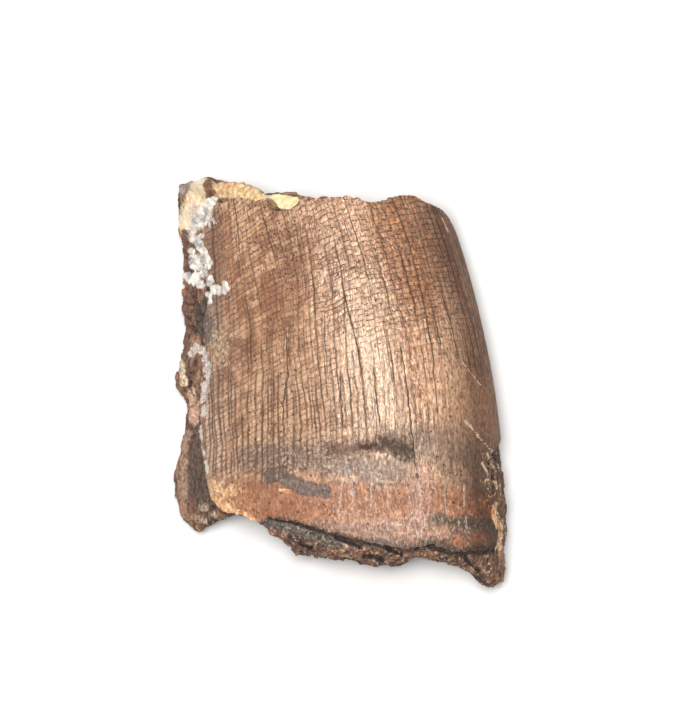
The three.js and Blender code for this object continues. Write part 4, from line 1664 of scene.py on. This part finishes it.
def enamel_stains() -> Tuple[Stain, ...]:
    """Gives the enamel's stains, with painted light, glints and sparkle among them, from the lowest layer up.

    Returns:
        The stains.
    """
    return (
        # Painted light: a paler band along the crest, where the lamp falls most.
        Stain(
            "crest_painted_light", ("#dcae86", "#e9c6a0"), (Mark(((1.9, 8.0), (2.7, 2.0), (3.4, -2.0), (4.6, -6.0)), 1.8),),
            Grain.BROAD, broken=0.5, soft=0.3, cover=0.5,
        ),
        Stain(
            "amber_top", ("#bb8055", "#9b6545"), (Mark(((4.2, 14.0), (6.4, 9.4)), 2.6),),
            Grain.BROAD, broken=0.5, soft=0.3, cover=0.65,
        ),
        Stain(
            "left_margin", ("#9e6a48", "#84593e"),
            (Mark(((-10.9, 14.0), (-10.9, 7.5)), 0.9), Mark(((-6.0, 15.0), (-5.6, 14.2)), 0.34)),
            Grain.LUMPY, broken=0.5, soft=0.25, cover=0.8,
        ),
        Stain(
            "yellow_speckle", ("#f0d4ac", "#94714f"), (Mark(((-10.3, 3.9), (-10.0, 1.8)), 0.8),),
            Grain.FINE, broken=1.5, soft=0.2, cover=0.75, over_cracks=True, most=0.62,
        ),
        Stain(
            "rust_band", ("#ca8c69", "#ab6f4e"),
            (
                Mark(
                    (
                        (-8.8, -9.9), (-3.6, -10.2), (0.0, -10.0), (3.2, -9.9), (6.5, -9.7), (9.3, -10.2),
                        (12.6, -10.6),
                    ),
                    1.5,
                ),
            ),
            Grain.BROAD, broken=0.3, soft=0.2, cover=0.9, matt=0.3,
        ),
        Stain(
            "low_band", ("#c0927d", "#835f50"),
            (Mark(((-2.0, -12.3), (3.2, -12.7), (6.5, -13.0), (9.5, -13.3), (12.5, -13.4)), 0.9),),
            Grain.PATCHY, broken=0.4, soft=0.2, cover=0.85, matt=0.2,
        ),
        Stain(
            "grey_zone", ("#7d6a5f", "#a38e80"),
            (Mark(((-7.5, -6.3), (-4.5, -6.0), (-1.1, -6.5), (2.0, -7.3), (4.8, -7.3)), 1.15),),
            Grain.FINE, broken=0.9, soft=0.25, cover=0.75, matt=0.3,
        ),
        Stain(
            "brown_zone", ("#826c5d", "#a68e7d"),
            (Mark(((6.9, -5.2), (8.4, -5.3), (10.2, -5.9), (11.8, -7.0)), 1.8),),
            Grain.STREAKS, broken=0.7, soft=0.45, cover=0.78,
        ),
        Stain(
            "brown_corner", ("#7d6352", "#a08270"),
            (
                Mark(((11.7, -7.4), (12.2, -9.6), (12.9, -12.6)), 1.2),
                Mark(((-11.5, 7.3), (-11.2, 6.0), (-11.1, 4.2)), 0.8),
            ),
            Grain.STREAKS, broken=0.5, soft=0.4, cover=0.75,
        ),
        Stain(
            "brown_streaks", ("#5d483b", "#7f6656"), (Mark(((8.6, -7.6), (10.4, -8.4), (12.4, -9.8)), 2.0),),
            Grain.LONG_STREAKS, broken=1.1, soft=0.2, cover=0.4, most=0.52,
        ),
        Stain(
            "grey_band", ("#5c4c3f", "#7a6857"),
            (Mark(((7.6, -11.4), (9.0, -11.6), (10.9, -11.9), (13.0, -12.5)), 0.52),),
            Grain.LUMPY, broken=0.4, soft=0.4, cover=0.95,
        ),
        # A pale pink patch that also carries painted highlight where the crest's gloss runs down.
        Stain(
            "pink_patch_and_painted_highlight", ("#dcab92", "#b98269"),
            (Mark(((6.4, -8.0), (6.5, -10.6)), 0.95), Mark(((5.0, -12.4), (8.5, -12.7)), 0.35)),
            Grain.FINE, broken=0.7, soft=0.25, cover=0.75,
        ),
        Stain(
            "rust_spots", ("#e0a07b", "#c07c5a"),
            (
                Mark(((9.3, -10.0), (9.4, -10.7)), 0.62), Mark(((10.7, -9.9), (10.7, -10.8)), 0.34),
                Mark(((11.7, -9.9), (11.75, -10.5)), 0.3), Mark(((12.4, -10.6), (12.4, -11.1)), 0.28),
                Mark(((9.6, -13.3), (9.9, -13.5)), 0.46), Mark(((11.1, -13.0), (11.6, -13.05)), 0.42),
            ),
            Grain.LUMPY, broken=0.3, soft=0.25, cover=0.95,
        ),
        Stain(
            "rim_dirt", ("#43342b", "#7a665a"),
            (
                Mark(((-6.0, -11.5), (-3.8, -11.8), (-0.9, -12.7), (2.5, -13.4)), 0.26),
                Mark(((-11.9, 6.4), (-11.5, 5.2), (-11.3, 3.7)), 0.42),
                Mark(((2.5, -13.4), (5.4, -13.9), (7.4, -13.3), (9.3, -14.0)), 0.42),
                Mark(((9.3, -14.1), (12.8, -13.9)), 0.26),
            ),
            Grain.PATCHY, broken=1.0, soft=0.2, cover=0.9,
        ),
        Stain(
            "island_rim", ("#59483e", "#6b574b"),
            (
                Mark(((-5.9, -7.85), (-5.0, -7.6)), 0.68),
                Mark(((-4.9, -8.0), (-4.2, -8.35), (-3.4, -8.8), (-2.5, -9.0), (-1.5, -9.05)), 0.62),
            ),
            Grain.LUMPY, broken=0.28, soft=0.08, cover=0.8,
        ),
        Stain(
            "island", ("#978075", "#78635a"),
            (
                Mark(((-5.9, -7.9), (-5.0, -7.68)), 0.56),
                Mark(((-4.9, -8.05), (-4.2, -8.4), (-3.4, -8.85), (-2.5, -9.05), (-1.5, -9.1)), 0.5),
            ),
            Grain.LUMPY, broken=0.28, soft=0.1, matt=0.2,
        ),
        Stain(
            "smudge", ("#6b5041", "#8f6f5c"),
            (Mark(((-0.9, -5.6), (0.8, -5.4), (2.6, -5.2)), 0.62), Mark(((3.5, -4.7), (5.1, -4.9)), 0.85)),
            Grain.FINE, broken=0.7, soft=0.4, cover=0.85, matt=0.3,
        ),
        Stain(
            "smudge_core", ("#2f2420", "#4f3d34"),
            (Mark(((1.6, -5.35), (2.7, -5.3)), 0.24), Mark(((3.5, -5.2), (4.6, -5.5), (5.5, -5.9)), 0.66)),
            Grain.FINE, soft=0.3, cover=0.92, matt=0.3,
        ),
        # Painted glints: small white specks low on the face.
        Stain(
            "painted_glints", ("#f6e7d8", "#dcc7b6"),
            (
                Mark(((-5.0, -6.3), (0.0, -7.2), (5.5, -8.2), (8.0, -8.8)), 2.0),
                Mark(((-1.0, -10.4), (5.0, -11.4), (10.0, -12.2)), 1.8),
            ),
            Grain.SPECKS, broken=1.0, soft=0.15, cover=0.55, over_cracks=True, most=0.32,
        ),
        Stain(
            "dark_specks", ("#5f4a3e", "#78604f"),
            (Mark(((-6.0, -7.0), (0.0, -8.0), (6.0, -10.0), (11.5, -12.0)), 2.8),),
            Grain.FINE, broken=1.0, soft=0.2, cover=0.6, over_cracks=True, most=0.37,
        ),
        Stain(
            "chips", ("#c9773f", "#ffdfb0"),
            (
                Mark(((12.65, -10.5), (12.8, -11.4), (13.0, -12.1)), 0.26),
                Mark(((-10.6, -10.0), (-10.0, -10.5), (-9.3, -10.6)), 0.5),
                Mark(((-9.2, -10.8), (-8.4, -11.1), (-7.5, -11.5)), 0.24), Mark(((-5.2, -9.0), (-4.3, -9.1)), 0.13),
            ),
            Grain.LUMPY, broken=0.7, soft=0.07, over_cracks=True, most=0.95, matt=0.3,
        ),
        Stain(
            "crumbs", ("#d18248", "#ffe3b8"), (Mark(((-10.6, -8.9), (-9.9, -9.2), (-9.2, -9.2)), 0.55),),
            Grain.PATCHY, broken=1.0, soft=0.1, over_cracks=True, most=0.75, matt=0.3,
        ),
        Stain(
            "dark_spot", ("#2d2520", "#453a33"), (Mark(((6.2, -7.7), (6.3, -7.9)), 0.14),),
            Grain.FINE, broken=0.3, soft=0.2, cover=0.9, over_cracks=True,
        ),
        Stain(
            "chip_specks", ("#cf8450", "#f3cf9c"),
            (
                Mark(((-10.9, -8.9), (-9.6, -9.6), (-8.2, -10.4)), 1.0),
                Mark(((12.1, -6.2), (12.1, -7.8), (12.4, -9.8)), 0.7),
            ),
            Grain.SPECKS, broken=1.0, cover=0.9, over_cracks=True, most=0.36,
        ),
        # Painted sparkle: tiny pale specks all over the face.
        Stain(
            "painted_sparkle", ("#efd0ae", "#d3a780"), (Mark(((-6.0, 14.0), (-4.0, 4.0), (0.0, -2.0)), 7.0),),
            Grain.SPECKS, broken=1.0, cover=0.5, over_cracks=True, most=0.17,
        ),
        Stain(
            "hairlines", ("#ece6e4", "#a8968d"),
            (
                Mark(((0.03, -8.1), (-0.1, -9.3), (-0.25, -10.6), (-0.25, -11.2)), 0.055),
                Mark(((0.24, -6.1), (0.4, -6.9), (0.6, -7.5), (0.83, -8.4), (0.89, -9.2), (0.89, -11.0)), 0.06),
                Mark(((2.3, -7.0), (2.5, -8.2), (2.4, -8.96), (2.46, -10.3)), 0.05),
                Mark(((3.7, -8.8), (3.85, -9.6), (3.8, -10.4)), 0.05),
                Mark(((3.7, -11.3), (3.7, -11.9), (3.85, -12.4)), 0.07), Mark(((4.8, -11.9), (5.05, -12.6)), 0.05),
                Mark(
                    ((6.25, -8.3), (6.42, -8.84), (6.53, -9.7), (6.42, -10.6), (6.64, -11.67), (6.53, -12.9)), 0.06
                ),
                Mark(((5.9, -11.2), (6.05, -12.0)), 0.06), Mark(((6.85, -10.9), (6.8, -12.1)), 0.05),
                Mark(((6.1, -12.3), (6.3, -12.9)), 0.08), Mark(((5.55, -9.4), (5.65, -10.2)), 0.05),
                Mark(((8.5, -8.8), (8.55, -10.15), (8.7, -11.3)), 0.05), Mark(((10.1, -8.6), (10.15, -10.4)), 0.05),
                Mark(((10.3, -11.3), (10.4, -12.3)), 0.05), Mark(((0.85, -8.9), (0.85, -9.3)), 0.14),
                Mark(((0.15, -8.2),), 0.12), Mark(((3.7, -11.5),), 0.12),
            ),
            Grain.SPECKS, broken=1.2, soft=0.3, cover=0.6, over_cracks=True,
        ),
        Stain(
            "pale_flecks", ("#e6ccb2", "#c49a7c"),
            (
                Mark(((-1.75, 8.5), (-1.65, 8.9), (-1.3, 9.2)), 0.14), Mark(((-0.47, 12.6),), 0.12),
                Mark(((10.13, -3.2), (11.0, -4.1), (11.6, -4.85)), 0.1), Mark(((11.7, -4.95), (12.6, -5.9)), 0.06),
                Mark(((9.99, 1.7), (10.8, 0.7), (11.6, -0.3)), 0.045), Mark(((8.3, 13.9), (8.9, 12.6)), 0.04),
                Mark(((11.7, -6.8), (12.1, -7.5)), 0.1), Mark(((12.1, -6.0), (12.3, -6.5)), 0.08),
                Mark(((12.2, -8.2),), 0.1),
            ),
            Grain.FINE, broken=0.8, soft=0.1, over_cracks=True,
        ),
        Stain(
            "thin_crust", ("#fff8ee", "#c6b1a3"), thin_crust_marks(),
            Grain.FINE, broken=0.9, soft=0.2, cover=0.95, over_cracks=True,
        ),
        Stain(
            "amber_streak", ("#c98a5c", "#ae7650"), (Mark(((-9.6, 14.2), (-9.35, 11.5), (-9.3, 8.5)), 0.25),),
            Grain.STREAKS, broken=0.5, soft=0.3, cover=0.7,
        ),
    )


def crust_marks() -> Tuple[Mark, ...]:
    """Gives where white calcite grew thick: a chain of beads down the upper half of the broken left side.

    Returns:
        The marks.
    """
    beads = (
        (-12.9, 12.8, 0.42), (-12.7, 12.2, 0.34), (-12.1, 12.2, 0.3), (-12.9, 11.2, 0.24), (-12.6, 10.4, 0.42),
        (-12.3, 9.9, 0.4), (-11.3, 9.9, 0.36), (-13.0, 8.9, 0.36), (-12.4, 8.75, 0.46), (-11.8, 9.2, 0.36),
        (-12.1, 8.3, 0.32), (-11.2, 8.6, 0.34), (-10.7, 8.1, 0.32), (-10.2, 7.75, 0.3), (-9.8, 8.2, 0.24),
        (-11.3, 7.4, 0.24), (-11.2, 6.9, 0.22),
    )
    return (
        *(Mark(((x, y),), reach) for x, y, reach in beads),
        Mark(((-12.1, 12.0), (-11.8, 11.3), (-11.7, 10.6), (-11.3, 9.8)), 0.27),
        Mark(((-12.6, 13.6), (-12.0, 13.4), (-11.4, 13.9)), 0.36),
        Mark(((-12.0, 14.4), (-11.5, 14.8), (-11.0, 15.3)), 0.34),
    )


def thin_crust_marks() -> Tuple[Mark, ...]:
    """Gives where calcite is no more than a film: a loop under the beads and a seam along the enamel's edge.

    Returns:
        The marks.
    """
    return (
        Mark(
            (
                (-12.9, 2.4), (-12.4, 3.0), (-11.8, 2.5), (-11.45, 1.4), (-11.5, 0.2), (-11.8, -0.9), (-11.9, -1.5),
            ),
            0.3,
        ),
        Mark(((-12.1, -3.8), (-12.0, -4.9)), 0.14), Mark(((-11.9, -5.6), (-11.75, -6.2)), 0.13),
        Mark(((-11.6, -6.8), (-11.4, -7.6)), 0.14),
        Mark(((-11.7, -2.2), (-11.8, -2.7)), 0.3), Mark(((-12.4, 14.3), (-11.6, 14.0)), 0.7),
    )


def dentine_stains() -> Tuple[Stain, ...]:
    """Gives the dentine's stains, with painted shadow under the enamel's edge and painted shade in the deep gaps
    among them, from the lowest layer up.

    Returns:
        The stains.
    """
    return (
        Stain(
            "rust_left", ("#8c6450", "#684a3b"), (Mark(((-13.3, 12.5), (-13.4, 6.0), (-13.5, 3.0)), 0.8),),
            Grain.LUMPY, soft=0.2,
        ),
        Stain(
            "dark_left", ("#67564a", "#4a3c33"), (Mark(((-11.7, 6.6), (-12.2, 4.4)), 0.6),),
            Grain.STREAKS, broken=0.5, soft=0.2,
        ),
        Stain(
            "dark_strip", ("#745e50", "#443830"),
            (
                Mark(((-12.6, -4.2), (-12.5, -5.8), (-12.9, -7.6), (-12.7, -9.1), (-12.5, -10.4)), 0.6),
                Mark(((-12.1, -6.6), (-11.9, -8.1), (-11.5, -9.9), (-11.0, -10.5)), 0.32),
            ),
            Grain.STREAKS, broken=0.9, soft=0.3, cover=0.9,
        ),
        Stain(
            "outer_strip", ("#c2a186", "#8a6753"),
            (Mark(((-13.4, -4.4), (-13.7, -7.5), (-13.6, -10.0), (-12.9, -11.6)), 0.36),),
            Grain.STREAKS, broken=0.8, soft=0.25, cover=0.9,
        ),
        Stain(
            "orange_edge", ("#b97c5a", "#925d44"),
            (
                Mark(((-13.6, 9.5), (-13.5, 7.5)), 0.2), Mark(((-13.6, 5.0), (-13.7, 4.0)), 0.2),
                Mark(((-13.8, 12.6),), 0.2),
            ),
            Grain.PATCHY, broken=0.8, soft=0.15,
        ),
        Stain(
            "cream_corner", ("#fffbe0", "#f6c795"),
            (
                Mark(((-13.4, 13.7), (-12.9, 14.6), (-12.6, 15.6), (-12.2, 16.8)), 0.8),
                Mark(((-12.3, 14.2), (-11.6, 14.8)), 0.8),
            ),
            Grain.PATCHY, broken=0.4, soft=0.15, cover=0.96, over_cracks=True, down_to=3.5,
        ),
        Stain(
            "corner_lump", ("#c6b4a8", "#8a7263"), (Mark(((-13.7, 16.3), (-13.3, 16.8)), 0.45),),
            Grain.LUMPY, broken=0.5, soft=0.15, cover=0.85, over_cracks=True, down_to=2.5,
        ),
        Stain(
            "cream_strip", ("#ffedb6", "#cc8f64"),
            (Mark(((-10.6, 16.4), (-8.7, 16.1), (-7.0, 15.7), (-6.2, 15.6)), 0.75),),
            Grain.LUMPY, broken=0.4, soft=0.1, cover=0.9, over_cracks=True, down_to=1.6,
        ),
        Stain(
            "cream_chip", ("#fffbd0", "#f6df98"), (Mark(((-6.1, 15.5), (-5.0, 15.3), (-4.2, 15.1)), 0.66),),
            Grain.LUMPY, broken=0.3, soft=0.08, cover=0.97, over_cracks=True, down_to=2.1,
        ),
        Stain(
            "brown_pits", ("#95603f", "#4e3729"),
            (Mark(((-11.5, 16.9), (-11.1, 16.0)), 0.36), Mark(((-6.3, 15.2), (-5.7, 14.3)), 0.3)),
            Grain.LUMPY, broken=0.4, cover=0.9, over_cracks=True, down_to=1.6,
        ),
        Stain(
            "cream_left", ("#f3e4c4", "#cfa785"), (Mark(((-13.8, 1.6), (-13.5, -0.2)), 0.3),),
            Grain.PATCHY, soft=0.15,
        ),
        Stain(
            "beige_left", ("#edc5a8", "#bd9077"), (Mark(((-12.9, -0.9), (-12.7, -2.4), (-12.8, -3.2)), 0.42),),
            Grain.PATCHY, broken=0.7, soft=0.2,
        ),
        Stain(
            "beige_lump", ("#dac3ab", "#8b7160"),
            (Mark(((-11.8, -10.7),), 0.4), Mark(((-11.9, -11.8),), 0.4), Mark(((-11.0, -11.2),), 0.28)),
            Grain.PATCHY, broken=0.7, soft=0.2,
        ),
        Stain(
            "red_lump", ("#8a5b45", "#6b4737"), (Mark(((-13.1, -10.2), (-12.9, -11.0)), 0.4),),
            Grain.PATCHY, broken=0.7, soft=0.2, cover=0.8,
        ),
        Stain(
            "grey_patch", ("#5a4f48", "#91857c"),
            (Mark(((-6.6, -11.7), (-4.9, -11.9), (-3.6, -12.4), (-2.3, -12.9), (-0.6, -13.4)), 0.65),),
            Grain.FINE, broken=0.9, soft=0.2, down_to=3.2,
        ),
        Stain(
            "orange_spots", ("#b97a50", "#7f5236"),
            (
                Mark(((-2.2, -13.5),), 0.25), Mark(((-1.3, -14.4), (-0.4, -14.4)), 0.25),
                Mark(((1.0, -14.2), (2.4, -14.3)), 0.24), Mark(((-5.8, -12.6), (-5.2, -13.0)), 0.22),
                Mark(((7.0, -14.4), (7.9, -14.7)), 0.3), Mark(((12.7, -16.6),), 0.5),
                Mark(((4.8, -14.3), (5.6, -14.3)), 0.3),
            ),
            Grain.FINE, broken=1.1, soft=0.15, cover=0.8,
        ),
        Stain(
            "pale_crumbs", ("#efdcc3", "#cf9f78"),
            (
                Mark(((-6.0, -12.6), (0.0, -14.2), (5.0, -14.4), (9.0, -15.0), (12.7, -16.2)), 1.6),
                Mark(((12.6, -6.0), (13.0, -8.0), (13.3, -10.0)), 0.8),
            ),
            Grain.FINE, broken=1.0, cover=0.8, most=0.36,
        ),
        Stain(
            "cream_flakes", ("#ffe9c4", "#cd8752"),
            (
                Mark(((12.8, -10.4), (12.9, -11.3), (13.1, -11.9)), 0.26),
                Mark(((13.3, -12.2), (13.4, -13.2), (13.2, -14.0)), 0.3), Mark(((13.0, -8.4), (13.1, -9.0)), 0.12),
                Mark(((12.5, -6.7), (12.8, -7.2)), 0.14), Mark(((8.5, -15.1),), 0.3),
            ),
            Grain.FINE, broken=1.15, down_to=3.4,
        ),
        Stain(
            "shadow_line", ("#1d1410", "#3d2c22"),
            (
                Mark(
                    ((-6.2, -11.4), (-3.8, -11.9), (-0.9, -12.8), (2.5, -13.55), (5.4, -14.15), (7.4, -13.6)), 0.15
                ),
                Mark(((7.4, -13.6), (9.3, -14.4), (12.6, -14.3)), 0.24),
            ),
            Grain.PATCHY, broken=0.7, soft=0.25, cover=0.85, over_cracks=True, down_to=2.6,
        ),
        # Painted shade, near black, in the deep gaps that the relief carves.
        Stain(
            "deep_gaps_and_painted_shade", ("#17100d", "#33241c"),
            (
                Mark(((10.3, -14.9), (10.9, -15.5), (11.5, -16.0)), 0.14), Mark(((1.9, -14.6), (3.3, -15.0)), 0.2),
                Mark(((-0.6, -13.1), (1.5, -13.8)), 0.15), Mark(((3.7, -14.0), (5.0, -14.5)), 0.16),
                Mark(((-3.6, -13.7), (-2.7, -14.1)), 0.14),
            ),
            Grain.PATCHY, soft=0.2,
        ),
        Stain(
            "thin_crust", ("#f6ece2", "#b09c8f"), thin_crust_marks(),
            Grain.FINE, broken=0.9, soft=0.2, cover=0.9, over_cracks=True,
        ),
        Stain(
            "crust", ("#fbf4e8", "#d3c6ba"), crust_marks(),
            Grain.PATCHY, soft=0.25, cover=0.85, over_cracks=True,
        ),
    )


def hold(piece: bpy.types.Object) -> None:
    """Makes a piece ride on the fossil's body and stand for its solid, whose node it hides.

    Args:
        piece: the finished piece.
    """
    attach(piece, BODY)
    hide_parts(NODE)
    piece.data.calc_loop_triangles()
    LOG.info("%s: %d triangles", piece.name, len(piece.data.loop_triangles))


def main() -> None:
    """Builds the fossil's pieces in order, then the setting."""
    logging.basicConfig(level=logging.INFO, format="%(name)s: %(message)s")
    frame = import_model()
    crown = Crown()
    shell = EnamelShell(crown, CrazedEnamel(Crazing(), enamel_stains()))
    enamel = shell.build()
    hold(enamel)
    dentine = DentineBody(crown, shell, BrokenDentine(dentine_stains())).build(frame["nodes"][NODE])
    hold(dentine)
    hold(CalciteCrust(crown, Calcite()).build(enamel, dentine))
    studio = Studio()
    studio.floor()
    studio.lamp()
    studio.room()
    studio.camera(crown)


if __name__ == "__main__":
    main()
